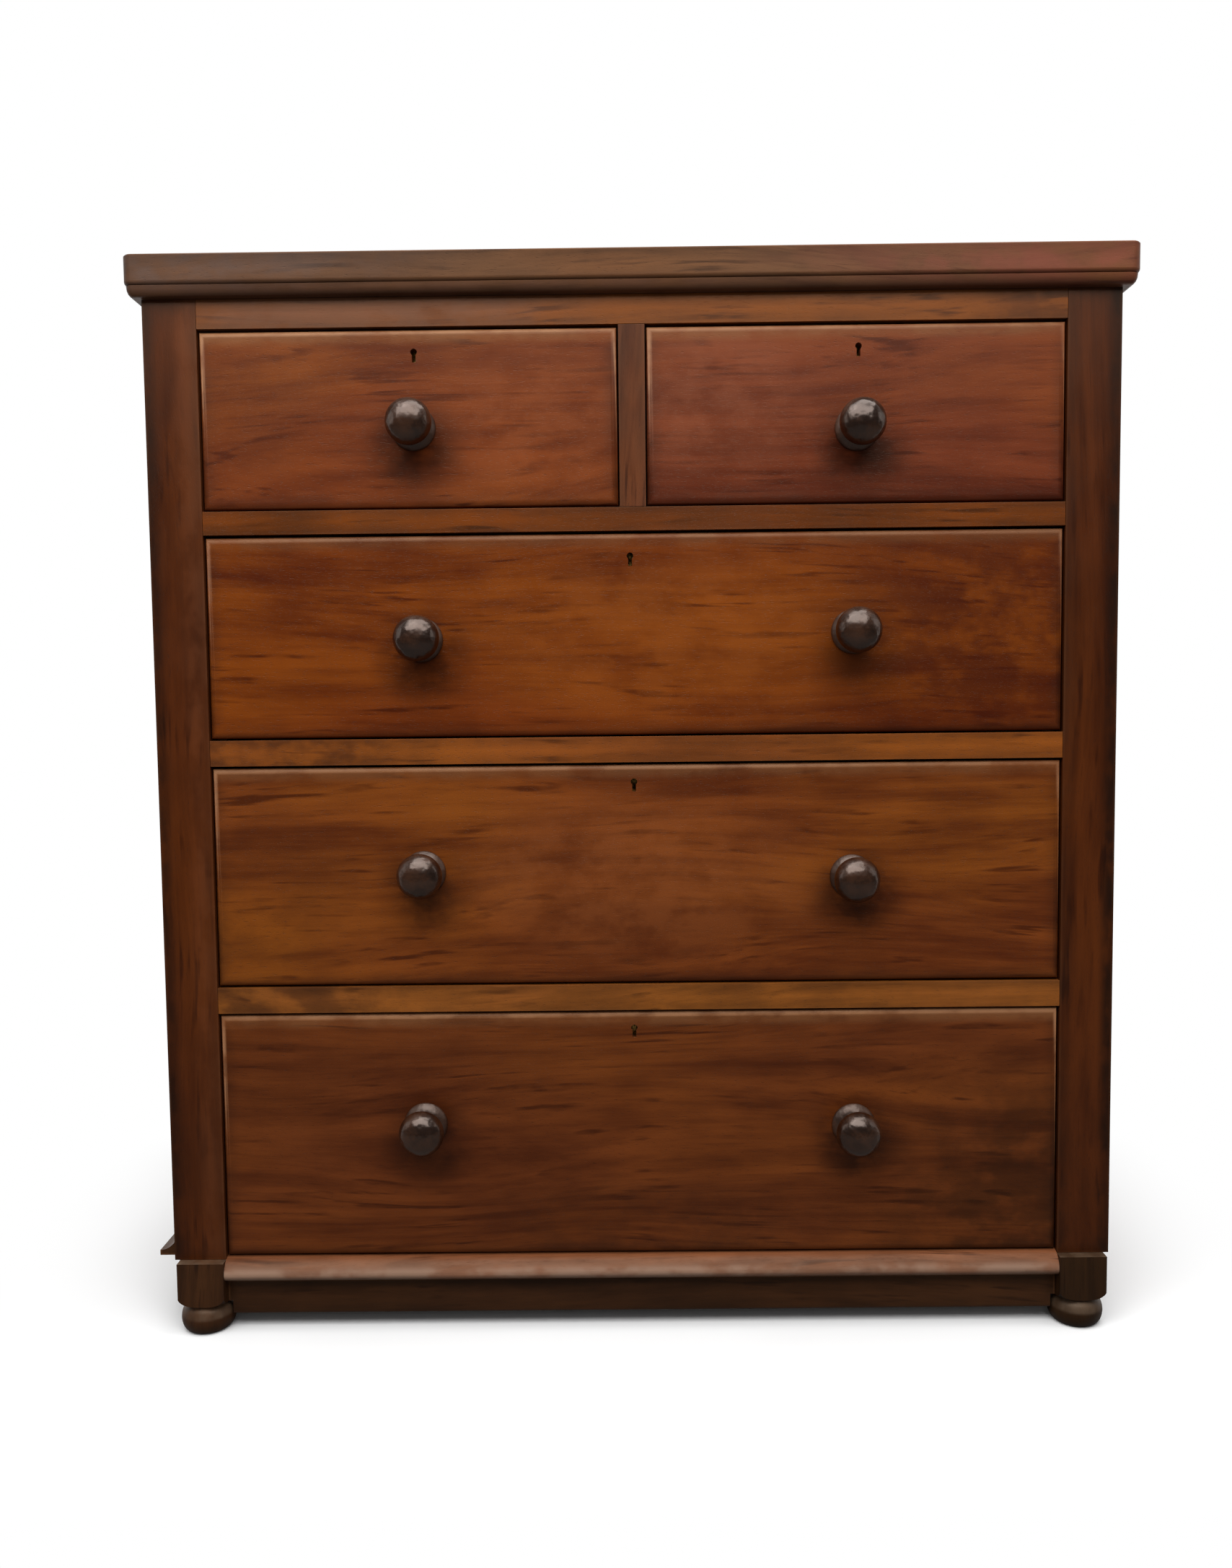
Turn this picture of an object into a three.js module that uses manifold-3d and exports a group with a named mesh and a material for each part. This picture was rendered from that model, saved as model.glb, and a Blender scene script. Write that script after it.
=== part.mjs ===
// A mahogany chest of drawers: two short drawers over three long ones, wide stiles, a thick
// top with a moulded lower edge, and a base of square blocks on turned feet.
// Lengths are in millimetres, +Z is up, the front faces -Y and +X is to the viewer's right.
// The pieces are placed from the middle of the carcase, the front plane of its stiles and
// the floor. The last lines then centre the whole on the origin.

import * as THREE from 'three';
import { mergeVertices } from 'three/addons/utils/BufferGeometryUtils.js';
import Module from 'manifold-3d';

const wasm = await Module();
wasm.setup();

// Carcase
const overallHeight = 1251;
const carcaseWidth = 1110;
const carcaseDepth = 510;
const stileWidth = 61;
const stileThickness = 28;
const sideThickness = 20;
const backThickness = 10;
const backLip = 8;
const railDepth = 60;
const topRailHeight = 33.5;
const dustBoardThickness = 10;
const housingDepth = 5;
const dividerWidth = 30;
const guideHeight = 25;
const guideInset = 1;

// Top
const topThickness = 45.5;
const topFaceHeight = 34;
const topFaceRound = 5;
const topOverhang = 16;
const topCornerRadius = 11;
const topQuirk = 2;
const topMouldingReturn = 9;
const topArris = 1.5;

// Base
const footHeight = 34;
const blockHeight = 53;
const blockProud = 12;
const blockInset = 6;
const sillLift = 2.5;
const noseHeight = 29;
const noseProud = 11;
const noseBulgeRise = 11;
const bottomThickness = 18;
const plinthThickness = 20;
const plinthSetback = 4;
const plinthGroundGap = 18;
const plinthArris = 4;
const sideMouldingHeight = 32;
const sideMouldingReach = 23;
const sideMouldingSetback = 14;
const sideMouldingFillet = 6;

// Turned feet: radii and heights of the profile, from the floor up
const footPadRadius = 22;
const footBellyRadius = 31.5;
const footNeckRadius = 24.5;
const footBellyHeight = 31;
const footBellyEndAngle = 62;
const footShoulderRadius = 25.5;
const footShoulderRise = 14;
const footShoulderReach = 14;
const footDowelRadius = 7;
const footDowelLength = 30;

// Joints between fixed pieces
const jointGap = 0.3;
const tenonLength = 15;
const tenonThickness = 12;
const tenonSetback = 8;
const tenonShoulder = 5;
const dividerTenonLength = 9;

// Openings and rails, in the order of the drawers from the top down. The lowest opening takes
// the height that is left above the base.
const shortOpening = 204.5;
const upperOpening = 235.5;
const middleOpening = 260.5;
const firstRailHeight = 27;
const secondRailHeight = 30;
const thirdRailHeight = 30.5;

// Drawers
const frontThickness = 22;
const frontSetback = 1;
const frontRoundWidth = 8;
const frontRoundDepth = 5;
const sideClearance = 1.5;
const topClearance = 2.5;
const bottomClearance = 2;
const runClearance = 0.4;
const bodyInset = 0.5;
const drawerSideThickness = 11;
const drawerSideDrop = 6;
const drawerBackThickness = 10;
const drawerBackDrop = 8;
const drawerBottomThickness = 8;
const drawerBottomRise = 9;
const grooveDepth = 5;
const lapThickness = 7;
const drawerStopGap = 0.5;
const tailPitch = 48;
const tailRootShare = 0.58;
const tailTipShare = 0.76;

// Locks and keyholes
const lockWidth = 68;
const lockHeight = 56;
const lockDepth = 10;
const lockPlateThickness = 2.5;
const lockPlateDepth = 14;
const keyholeRadius = 3.8;
const keyholeSlotWidth = 4.4;
const keyholeSlotLength = 11.5;
const keyPinRadius = 1.5;

// Knobs
const knobHeadRadius = 26;
const knobHeadHalfDepth = 19;
const knobHeadDistance = 34;
const knobWaistRadius = 11.5;
const knobWaistDistance = 13;
const knobFlangeRadius = 25.5;
const knobFlangeEdge = 1.5;
const knobFlangeCurve = 18;
const knobFlangeAngles = [32, 70];
const knobShankRadius = 7;
const knobHeadStartAngle = -64;

// Where the keyholes and knobs are, which were set by hand and aren't quite even: the keyhole
// is this far right of the drawer's middle and below the top of its opening, and each knob is
// this far right of and above the opening's middle
const fittings = {
  short_drawer_left: { keyhole: [7, 28], knobs: { knob: [5, -11] } },
  short_drawer_right: { keyhole: [3, 27.5], knobs: { knob: [1.5, -17] } },
  upper_drawer: { keyhole: [-4, 28.5], knobs: { knob_left: [-246, -4], knob_right: [252, 0] } },
  middle_drawer: { keyhole: [-2, 22.5], knobs: { knob_left: [-248, 4], knob_right: [250.5, -5] } },
  lower_drawer: { keyhole: [-4.5, 21.5], knobs: { knob_left: [-252, 13], knob_right: [253, 7.5] } },
};

// Steps of the rounded forms
const knobSides = 22;
const footSides = 24;
const dowelSides = 16;
const cornerSteps = 5;
const roundSteps = 4;
const noseSteps = 6;
const headSteps = 8;
const coveSteps = 6;

// Cuts run past the faces that they open
const overrun = 1;

// Levels and places that follow from the sizes
const halfWidth = carcaseWidth / 2;
const innerSide = halfWidth - sideThickness;
const innerStile = halfWidth - stileWidth;
const backPlane = carcaseDepth - backThickness;
const blockTop = footHeight + blockHeight;
const sillTop = blockTop + sillLift;
const noseBottom = sillTop - noseHeight;
const blockWidth = stileWidth - blockInset;
const blockBack = blockWidth - blockProud;
const carcaseTop = overallHeight - topThickness;
const shortTop = carcaseTop - topRailHeight;
const shortBottom = shortTop - shortOpening;
const upperTop = shortBottom - firstRailHeight;
const upperBottom = upperTop - upperOpening;
const middleTop = upperBottom - secondRailHeight;
const middleBottom = middleTop - middleOpening;
const lowerTop = middleBottom - thirdRailHeight;
const knobReach = knobHeadDistance + knobHeadHalfDepth;

// Finishes, one per kind of surface
const finishes = {
  mahogany: { color: 0x6f3b1e, roughness: 0.42 },
  mahoganyTop: { color: 0x684a38, roughness: 0.45 },
  mahoganyBase: { color: 0x30200f, roughness: 0.5 },
  mahoganyFront: { color: 0x73401c, roughness: 0.38 },
  darkKnob: { color: 0x2a211d, roughness: 0.25 },
  pine: { color: 0xa98455, roughness: 0.75 },
  brass: { color: 0x9c7c43, roughness: 0.4, metalness: 0.9 },
};

function piece(name, geometry, finish) {
  const material = new THREE.MeshStandardMaterial({ metalness: 0, ...finishes[finish] });
  const mesh = new THREE.Mesh(geometry, material);
  mesh.name = name;
  return mesh;
}

// A box between two places along each axis
function box(x, y, z) {
  const geometry = new THREE.BoxGeometry(x[1] - x[0], y[1] - y[0], z[1] - z[0]);
  return geometry.translate((x[0] + x[1]) / 2, (y[0] + y[1]) / 2, (z[0] + z[1]) / 2);
}

// The closed body of a geometry, with its shared corners merged, ready to be cut or joined
function solid(geometry) {
  const bare = geometry.clone();
  bare.deleteAttribute('normal');
  bare.deleteAttribute('uv');
  const merged = mergeVertices(bare);
  const corners = merged.index.array;
  const triangles = [];
  for (let i = 0; i < corners.length; i += 3) {
    const [a, b, c] = corners.slice(i, i + 3);
    if (a !== b && b !== c && c !== a) triangles.push(a, b, c);
  }
  return new wasm.Manifold(new wasm.Mesh({
    numProp: 3,
    vertProperties: new Float32Array(merged.attributes.position.array),
    triVerts: new Uint32Array(triangles),
  }));
}

function geometryOf(body) {
  const mesh = body.getMesh();
  const geometry = new THREE.BufferGeometry();
  geometry.setAttribute('position', new THREE.BufferAttribute(new Float32Array(mesh.vertProperties), 3));
  geometry.setIndex(new THREE.BufferAttribute(new Uint32Array(mesh.triVerts), 1));
  geometry.computeVertexNormals();
  return geometry;
}

function cut(geometry, tools) {
  return geometryOf(tools.reduce((body, tool) => body.subtract(solid(tool)), solid(geometry)));
}

function join(geometries) {
  const [first, ...others] = geometries.map(solid);
  return geometryOf(others.reduce((body, other) => body.add(other), first));
}

function shapeOf(outline) {
  return new THREE.Shape(outline.map(([across, up]) => new THREE.Vector2(across, up)));
}

// An outline in Y and Z, pushed along X
function extrudeAlongX(outline, x) {
  const geometry = new THREE.ExtrudeGeometry(shapeOf(outline), { depth: x[1] - x[0], bevelEnabled: false });
  const turn = new THREE.Matrix4().makeBasis(
    new THREE.Vector3(0, 1, 0),
    new THREE.Vector3(0, 0, 1),
    new THREE.Vector3(1, 0, 0),
  );
  return geometry.applyMatrix4(turn).translate(x[0], 0, 0);
}

// An outline in X and Z, pushed along Y
function extrudeAlongY(outline, y) {
  const geometry = new THREE.ExtrudeGeometry(shapeOf(outline), { depth: y[1] - y[0], bevelEnabled: false });
  return geometry.rotateX(Math.PI / 2).translate(0, y[1], 0);
}

// A body through equal outlines of X and Y at rising heights
function loft(layers) {
  const count = layers[0].outline.length;
  const positions = layers.flatMap(({ outline, z }) => outline.flatMap(([x, y]) => [x, y, z]));
  const faces = [];
  for (let layer = 0; layer < layers.length - 1; layer += 1) {
    for (let i = 0; i < count; i += 1) {
      const a = layer * count + i;
      const b = layer * count + ((i + 1) % count);
      faces.push(a, b, b + count, a, b + count, a + count);
    }
  }
  const top = (layers.length - 1) * count;
  for (let i = 1; i < count - 1; i += 1) {
    faces.push(0, i + 1, i, top, top + i, top + i + 1);
  }
  const geometry = new THREE.BufferGeometry();
  geometry.setAttribute('position', new THREE.Float32BufferAttribute(positions, 3));
  geometry.setIndex(faces);
  geometry.computeVertexNormals();
  return geometry;
}

// A turned body that stands on the floor, from pairs of radius and height
function turned(profile, sides) {
  const points = profile.map(([radius, height]) => new THREE.Vector2(radius, height));
  return new THREE.LatheGeometry(points, sides).rotateX(Math.PI / 2);
}

// Points on a quarter or other part of an ellipse, between two angles in radians
function arc(centre, radii, from, to, steps) {
  return Array.from({ length: steps + 1 }, (_, i) => {
    const angle = from + ((to - from) * i) / steps;
    return [centre[0] + radii[0] * Math.cos(angle), centre[1] + radii[1] * Math.sin(angle)];
  });
}

function mirrored(range) {
  return [-range[1], -range[0]];
}

// The top: its outline has rounded front corners, its face rolls under into a quirk, and its
// lower edge is an ovolo
function topOutline(inset) {
  const side = halfWidth + topOverhang - inset;
  const front = inset - topOverhang;
  const radius = topCornerRadius - inset;
  return [
    [side, carcaseDepth],
    [-side, carcaseDepth],
    ...arc([radius - side, front + radius], [radius, radius], Math.PI, Math.PI * 1.5, cornerSteps),
    ...arc([side - radius, front + radius], [radius, radius], Math.PI * 1.5, Math.PI * 2, cornerSteps),
  ];
}

function topBoard() {
  const mouldingHeight = topThickness - topFaceHeight;
  const ovolo = arc(
    [topMouldingReturn, mouldingHeight],
    [topMouldingReturn - topQuirk, mouldingHeight],
    Math.PI * 1.5,
    Math.PI,
    roundSteps,
  );
  const roll = arc(
    [topFaceRound, mouldingHeight + topFaceRound],
    [topFaceRound, topFaceRound],
    Math.PI * 1.5,
    Math.PI,
    roundSteps,
  );
  const profile = [...ovolo, ...roll, [0, topThickness - topArris], [topArris, topThickness]];
  const layers = profile.map(([inset, height]) => ({ outline: topOutline(inset), z: carcaseTop + height }));
  return piece('top_board', loft(layers), 'mahoganyTop');
}

// Rails between the stiles, with a tenon at each end
function railGeometry(z, depth) {
  const shoulders = innerStile - jointGap;
  const tenonY = [tenonSetback, tenonSetback + tenonThickness];
  const tenonZ = [z[0] + tenonShoulder, z[1] - tenonShoulder];
  const reach = innerStile + tenonLength;
  return join([box([-shoulders, shoulders], [0, depth], z), box([-reach, reach], tenonY, tenonZ)]);
}

function railMortise(z) {
  const reach = innerStile + tenonLength + jointGap;
  const y = [tenonSetback - jointGap, tenonSetback + tenonThickness + jointGap];
  return box([-reach, reach], y, [z[0] + tenonShoulder - jointGap, z[1] - tenonShoulder + jointGap]);
}

const railLevels = {
  top_rail: [shortTop, carcaseTop - jointGap],
  rail_1: [upperTop, shortBottom],
  rail_2: [middleTop, upperBottom],
  rail_3: [lowerTop, middleBottom],
};

// The divider between the short drawers is tenoned into the rails above and below it
function dividerGeometry() {
  const half = dividerWidth / 2;
  const body = box([-half, half], [0, stileThickness], [shortBottom + jointGap, shortTop - jointGap]);
  return join([body, dividerTenon(0)]);
}

function dividerTenon(gap) {
  const half = dividerWidth / 2 - tenonShoulder + gap;
  const y = [tenonSetback - gap, tenonSetback + tenonThickness + gap];
  const reach = dividerTenonLength + gap;
  return box([-half, half], y, [shortBottom - reach, shortTop + reach]);
}

function rails() {
  return Object.entries(railLevels).map(([name, z]) => {
    const geometry = railGeometry(z, name === 'top_rail' ? stileThickness : railDepth);
    const holdsDivider = name === 'top_rail' || name === 'rail_1';
    return piece(name, holdsDivider ? cut(geometry, [dividerTenon(jointGap)]) : geometry, 'mahogany');
  });
}

// Stiles stand on the front blocks and take the tenons of the rails and the foot's dowel
function stile(name, hand) {
  const x = hand < 0 ? [-halfWidth, -innerStile] : [innerStile, halfWidth];
  const body = box(x, [0, stileThickness], [blockTop + jointGap, carcaseTop - jointGap]);
  const mortises = Object.values(railLevels).map(railMortise);
  return piece(name, cut(body, [...mortises, footDowel(hand, jointGap)]), 'mahogany');
}

// Grooves in both side boards for the ends of a board at these heights
function housing(z) {
  const reach = innerSide + housingDepth + jointGap;
  return box([-reach, reach], [blockBack, backPlane], [z[0] - jointGap, z[1] + jointGap]);
}

function boardLevels() {
  const tops = [shortBottom, upperBottom, middleBottom];
  return tops.map((top) => [top - dustBoardThickness, top]);
}

// A side board is notched over the front block, housed for the boards that carry the
// drawers, and rebated for the back. The guides that keep the drawers in line with the
// opening between the stiles are in one piece with it.
function side(name, hand) {
  const x = hand < 0 ? [-halfWidth, -innerSide] : [innerSide, halfWidth];
  const front = stileThickness + jointGap;
  const notch = blockBack + jointGap;
  const outline = [
    [notch, footHeight],
    [carcaseDepth, footHeight],
    [carcaseDepth, carcaseTop - jointGap],
    [front, carcaseTop - jointGap],
    [front, blockTop + jointGap],
    [notch, blockTop + jointGap],
  ];
  const rebateReach = halfWidth - backLip + jointGap;
  const rebateY = [backPlane - jointGap, carcaseDepth + overrun];
  const rebate = box([-rebateReach, rebateReach], rebateY, [0, carcaseTop + overrun]);
  const housings = [...boardLevels(), [sillTop - bottomThickness, sillTop]].map(housing);
  const guideX = hand < 0 ? [-innerSide, -innerStile] : [innerStile, innerSide];
  const guides = [shortBottom, upperBottom, middleBottom, sillTop]
    .map((level) => box(guideX, [front, backPlane - jointGap], [level + jointGap, level + guideHeight]));
  const board = join([extrudeAlongX(outline, x), ...guides]);
  return piece(name, cut(board, [rebate, ...housings]), 'mahogany');
}

function backPanel() {
  const half = halfWidth - backLip;
  const panel = box([-half, half], [backPlane, carcaseDepth], [footHeight, carcaseTop - jointGap]);
  return piece('back_panel', panel, 'pine');
}

// Dust boards lie level with the rails in front of them and carry the drawers
function dustBoards() {
  const half = innerSide + housingDepth;
  return boardLevels().map((z, i) => {
    const geometry = box([-half, half], [railDepth + jointGap, backPlane - jointGap], z);
    return piece(`dust_board_${i + 1}`, geometry, 'pine');
  });
}

function centreGuide() {
  const half = dividerWidth / 2 - guideInset;
  const y = [stileThickness + jointGap, backPlane - jointGap];
  const z = [shortBottom + jointGap, shortBottom + guideHeight];
  return piece('centre_guide', box([-half, half], y, z), 'pine');
}

// The bottom board: its front is a rail with a nose between the blocks, and the nose bulges
// most below its middle
function bottomBoard() {
  const upper = noseHeight - noseBulgeRise;
  const bulge = [upper - noseProud, noseBottom + noseBulgeRise];
  const round = [
    ...arc(bulge, [upper, upper], Math.PI / 2, Math.PI, noseSteps),
    ...arc(bulge, [upper, noseBulgeRise], Math.PI, Math.PI * 1.5, noseSteps).slice(1),
  ];
  const nose = extrudeAlongX(
    [[railDepth, noseBottom], [railDepth, sillTop], ...round],
    [jointGap - innerStile, innerStile - jointGap],
  );
  const half = innerSide + housingDepth;
  const y = [blockBack + jointGap, backPlane - jointGap];
  const panel = box([-half, half], y, [sillTop - bottomThickness, sillTop]);
  return piece('bottom_board', join([nose, panel]), 'mahogany');
}

// The plinth rail hangs between the blocks and is notched over the bellies of the feet
function plinthRail() {
  const end = innerStile - jointGap;
  const front = plinthSetback;
  const low = plinthGroundGap;
  const arrisMiddle = [front + plinthArris, low + plinthArris];
  const outline = [
    [front + plinthThickness, low],
    [front + plinthThickness, noseBottom - jointGap],
    [front, noseBottom - jointGap],
    ...arc(arrisMiddle, [plinthArris, plinthArris], Math.PI, Math.PI * 1.5, roundSteps),
  ];
  const notchStart = innerStile + blockWidth / 2 - footBellyRadius - sideClearance;
  const notchY = [front - overrun, front + plinthThickness + overrun];
  const notches = [[notchStart, halfWidth], [-halfWidth, -notchStart]]
    .map((x) => box(x, notchY, [0, footHeight + overrun]));
  return piece('plinth_rail', cut(extrudeAlongX(outline, [-end, end]), notches), 'mahoganyBase');
}

// Feet: a square block whose lower edge is turned to a shoulder, a neck and a flat bun
function footProfile(top) {
  const bellyCentre = footBellyHeight / 2;
  const belly = arc(
    [footPadRadius, bellyCentre],
    [footBellyRadius - footPadRadius, bellyCentre],
    -Math.PI / 2,
    THREE.MathUtils.degToRad(footBellyEndAngle),
    headSteps,
  );
  const shoulder = arc(
    [footShoulderRadius, footHeight + footShoulderRise],
    [footShoulderReach, footShoulderRise],
    -Math.PI / 2,
    0,
    roundSteps + 2,
  );
  return [[0, 0], ...belly, [footNeckRadius, footBellyHeight], [footNeckRadius, footHeight], ...shoulder,
    [footShoulderRadius + footShoulderReach, top], [0, top]];
}

function footGeometry(top) {
  const half = blockWidth / 2;
  const square = box([-half, half], [-half, half], [footHeight, top]);
  const wide = box([-blockWidth, blockWidth], [-blockWidth, blockWidth], [-overrun, footHeight]);
  const limits = solid(join([square, wide]));
  return geometryOf(solid(turned(footProfile(top), footSides)).intersect(limits));
}

// The dowel of a front foot goes up into the stile, midway in its thickness
function footDowel(hand, gap) {
  const length = footDowelLength + gap;
  const radius = footDowelRadius + gap;
  const dowel = new THREE.CylinderGeometry(radius, radius, length + overrun, dowelSides);
  const x = hand * (innerStile + blockWidth / 2);
  return dowel.rotateX(Math.PI / 2).translate(x, stileThickness / 2, blockTop + (length - overrun) / 2);
}

function frontFoot(name, hand) {
  const x = hand * (innerStile + blockWidth / 2);
  const foot = footGeometry(blockTop).translate(x, blockWidth / 2 - blockProud, 0);
  return piece(name, join([foot, footDowel(hand, 0)]), 'mahoganyBase');
}

function rearFoot(name, hand) {
  const top = sillTop - bottomThickness - jointGap;
  const x = innerSide - jointGap - blockWidth / 2;
  const y = backPlane - jointGap - blockWidth / 2;
  return piece(name, footGeometry(top).translate(hand * x, y, 0), 'mahoganyBase');
}

// The moulding on the left side: a cove over a small fillet
function sideMoulding() {
  const wall = -halfWidth - jointGap;
  const tip = -halfWidth - sideMouldingReach;
  const top = blockTop + sideMouldingHeight;
  const coveHeight = sideMouldingHeight - sideMouldingFillet;
  const cove = arc([tip, top], [wall - tip, coveHeight], 0, -Math.PI / 2, coveSteps);
  const outline = [[tip, blockTop], [wall, blockTop], ...cove];
  const moulding = extrudeAlongY(outline, [sideMouldingSetback, carcaseDepth]);
  return piece('side_moulding_left', moulding, 'mahoganyBase');
}

// Dovetails between two heights: the middle of each, and half its width at root and tip
function tails(z) {
  const height = z[1] - z[0];
  const count = Math.max(2, Math.round(height / tailPitch));
  const pitch = height / count;
  return Array.from({ length: count }, (_, i) => ({
    middle: z[0] + (i + 0.5) * pitch,
    root: (pitch * tailRootShare) / 2,
    tip: (pitch * tailTipShare) / 2,
  }));
}

// The outline of a tail between root and tip, made larger by a gap and lengthened at both ends
function tailOutline({ middle, root, tip }, y, gap, extra) {
  const along = Math.sign(y[1] - y[0]);
  const slope = (tip - root) / Math.abs(y[1] - y[0]);
  const rootHalf = root - slope * extra[0] + gap;
  const tipHalf = tip + slope * extra[1] + gap;
  const ends = [y[0] - along * extra[0], y[1] + along * extra[1]];
  return [
    [ends[0], middle - rootHalf],
    [ends[1], middle - tipHalf],
    [ends[1], middle + tipHalf],
    [ends[0], middle + rootHalf],
  ];
}

// All places of one drawer, from its opening in the carcase and its keyhole's place
function drawerPlan(opening, keyhole) {
  const x = [opening.x[0] + sideClearance, opening.x[1] - sideClearance];
  const z = [opening.z[0] + bottomClearance, opening.z[1] - topClearance];
  const rear = backPlane - drawerStopGap;
  const frontBack = frontSetback + frontThickness;
  const bottomZ = [z[0] + drawerBottomRise, z[0] + drawerBottomRise + drawerBottomThickness];
  const sideTop = z[1] - drawerSideDrop;
  const backFace = rear - drawerBackThickness;
  const middle = { x: (opening.x[0] + opening.x[1]) / 2, z: (opening.z[0] + opening.z[1]) / 2 };
  return {
    x,
    z,
    bottomZ,
    rear,
    frontBack,
    backFace,
    frontTailY: [frontBack + jointGap, frontSetback + lapThickness],
    backTailY: [backFace - jointGap, rear],
    outer: [x[0] + bodyInset, x[1] - bodyInset],
    inner: [x[0] + bodyInset + drawerSideThickness, x[1] - bodyInset - drawerSideThickness],
    sideZ: [opening.z[0] + runClearance, sideTop],
    backZ: [bottomZ[1] + jointGap, sideTop - drawerBackDrop],
    middle,
    key: { x: middle.x + keyhole[0], z: opening.z[1] - keyhole[1] },
  };
}

function grooveBox(plan) {
  const x = [plan.inner[0] - grooveDepth - jointGap, plan.inner[1] + grooveDepth + jointGap];
  const y = [plan.frontBack - grooveDepth - jointGap, plan.rear + overrun];
  return box(x, y, [plan.bottomZ[0] - jointGap, plan.bottomZ[1] + jointGap]);
}

function keyhole(plan) {
  const { x, z } = plan.key;
  const y = [frontSetback - overrun, plan.frontBack];
  const depth = y[1] - y[0];
  const round = new THREE.CylinderGeometry(keyholeRadius, keyholeRadius, depth, dowelSides)
    .translate(x, y[0] + depth / 2, z);
  const half = keyholeSlotWidth / 2;
  const slot = box([x - half, x + half], y, [z - keyholeSlotLength, z]);
  return [round, slot];
}

// A lock is let into the back and the top edge of the front, flush with both
function lockGeometry(plan, gap) {
  const half = lockWidth / 2 + gap;
  const x = [plan.key.x - half, plan.key.x + half];
  const open = gap > 0 ? overrun : 0;
  const rear = plan.frontBack + open;
  const top = plan.z[1] + open;
  const sizes = [[lockDepth, lockHeight], [lockPlateDepth, lockPlateThickness]];
  return join(sizes.map(([depth, height]) => (
    box(x, [plan.frontBack - depth - gap, rear], [plan.z[1] - height - gap, top])
  )));
}

// The case is hollow round the pin that guides the key
function lock(name, plan) {
  const { x, z } = plan.key;
  const y = [plan.frontBack - lockDepth - overrun, plan.frontBack - lockDepth / 2];
  const [well, slot] = keyhole(plan).map(solid);
  const limit = solid(box([x - lockWidth, x + lockWidth], y, plan.z));
  const pinLength = y[1] - y[0] - overrun;
  const pin = new THREE.CylinderGeometry(keyPinRadius, keyPinRadius, pinLength, dowelSides)
    .translate(x, y[1] - pinLength / 2, z);
  const body = solid(lockGeometry(plan, 0)).subtract(well.add(slot).intersect(limit)).add(solid(pin));
  return piece(name, geometryOf(body), 'brass');
}

// A drawer front is rounded along its four edges and socketed for the dovetails of its sides
function drawerFront(name, plan, knobs) {
  const radii = [frontRoundWidth, frontRoundDepth];
  const layers = arc(radii, radii, Math.PI * 1.5, Math.PI, roundSteps)
    .map(([inset, depth]) => ({ inset, depth }));
  const outline = (inset) => [
    [plan.x[0] + inset, -plan.z[1] + inset],
    [plan.x[1] - inset, -plan.z[1] + inset],
    [plan.x[1] - inset, -plan.z[0] - inset],
    [plan.x[0] + inset, -plan.z[0] - inset],
  ];
  const slices = [...layers, { inset: 0, depth: frontThickness }]
    .map(({ inset, depth }) => ({ outline: outline(inset), z: frontSetback + depth }));
  const board = loft(slices).rotateX(-Math.PI / 2);
  const sockets = tails([plan.z[0], plan.sideZ[1]]).flatMap((tail) => {
    const shape = tailOutline(tail, plan.frontTailY, jointGap, [overrun, jointGap]);
    return [
      extrudeAlongX(shape, [plan.x[0] - overrun, plan.inner[0] + jointGap]),
      extrudeAlongX(shape, [plan.inner[1] - jointGap, plan.x[1] + overrun]),
    ];
  });
  const holes = knobs.map(({ x, z }) => {
    const length = frontThickness + overrun * 2;
    const radius = knobShankRadius + jointGap;
    return new THREE.CylinderGeometry(radius, radius, length, knobSides)
      .translate(x, frontSetback + frontThickness / 2, z);
  });
  const tools = [...sockets, ...holes, ...keyhole(plan), grooveBox(plan), lockGeometry(plan, jointGap)];
  return piece(name, cut(board, tools), 'mahoganyFront');
}

// A drawer side has lapped dovetails in front, through dovetails behind and a groove inside
function drawerSide(name, plan, hand) {
  const [front] = plan.frontTailY;
  const [back] = plan.backTailY;
  const backTails = tails(plan.backZ).flatMap((tail) => tailOutline(tail, plan.backTailY, 0, [0, 0]));
  const frontTails = tails([plan.z[0], plan.sideZ[1]])
    .reverse()
    .flatMap((tail) => tailOutline(tail, plan.frontTailY, 0, [0, 0]).reverse());
  const outline = [
    [front, plan.sideZ[0]],
    [plan.rear, plan.sideZ[0]],
    [plan.rear, plan.backZ[0] - jointGap],
    [back, plan.backZ[0] - jointGap],
    ...backTails,
    [back, plan.sideZ[1]],
    [front, plan.sideZ[1]],
    ...frontTails,
  ];
  const x = hand < 0 ? [plan.outer[0], plan.inner[0]] : [plan.inner[1], plan.outer[1]];
  return piece(name, cut(extrudeAlongX(outline, x), [grooveBox(plan)]), 'pine');
}

function drawerBack(name, plan) {
  const body = box(plan.outer, [plan.backFace, plan.rear], plan.backZ);
  const sockets = tails(plan.backZ).flatMap((tail) => {
    const shape = tailOutline(tail, plan.backTailY, jointGap, [overrun, overrun]);
    return [
      extrudeAlongX(shape, [plan.outer[0] - overrun, plan.inner[0] + jointGap]),
      extrudeAlongX(shape, [plan.inner[1] - jointGap, plan.outer[1] + overrun]),
    ];
  });
  return piece(name, cut(body, sockets), 'pine');
}

function drawerBottom(name, plan) {
  const x = [plan.inner[0] - grooveDepth, plan.inner[1] + grooveDepth];
  const y = [plan.frontBack - grooveDepth, plan.rear];
  return piece(name, box(x, y, plan.bottomZ), 'pine');
}

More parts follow.
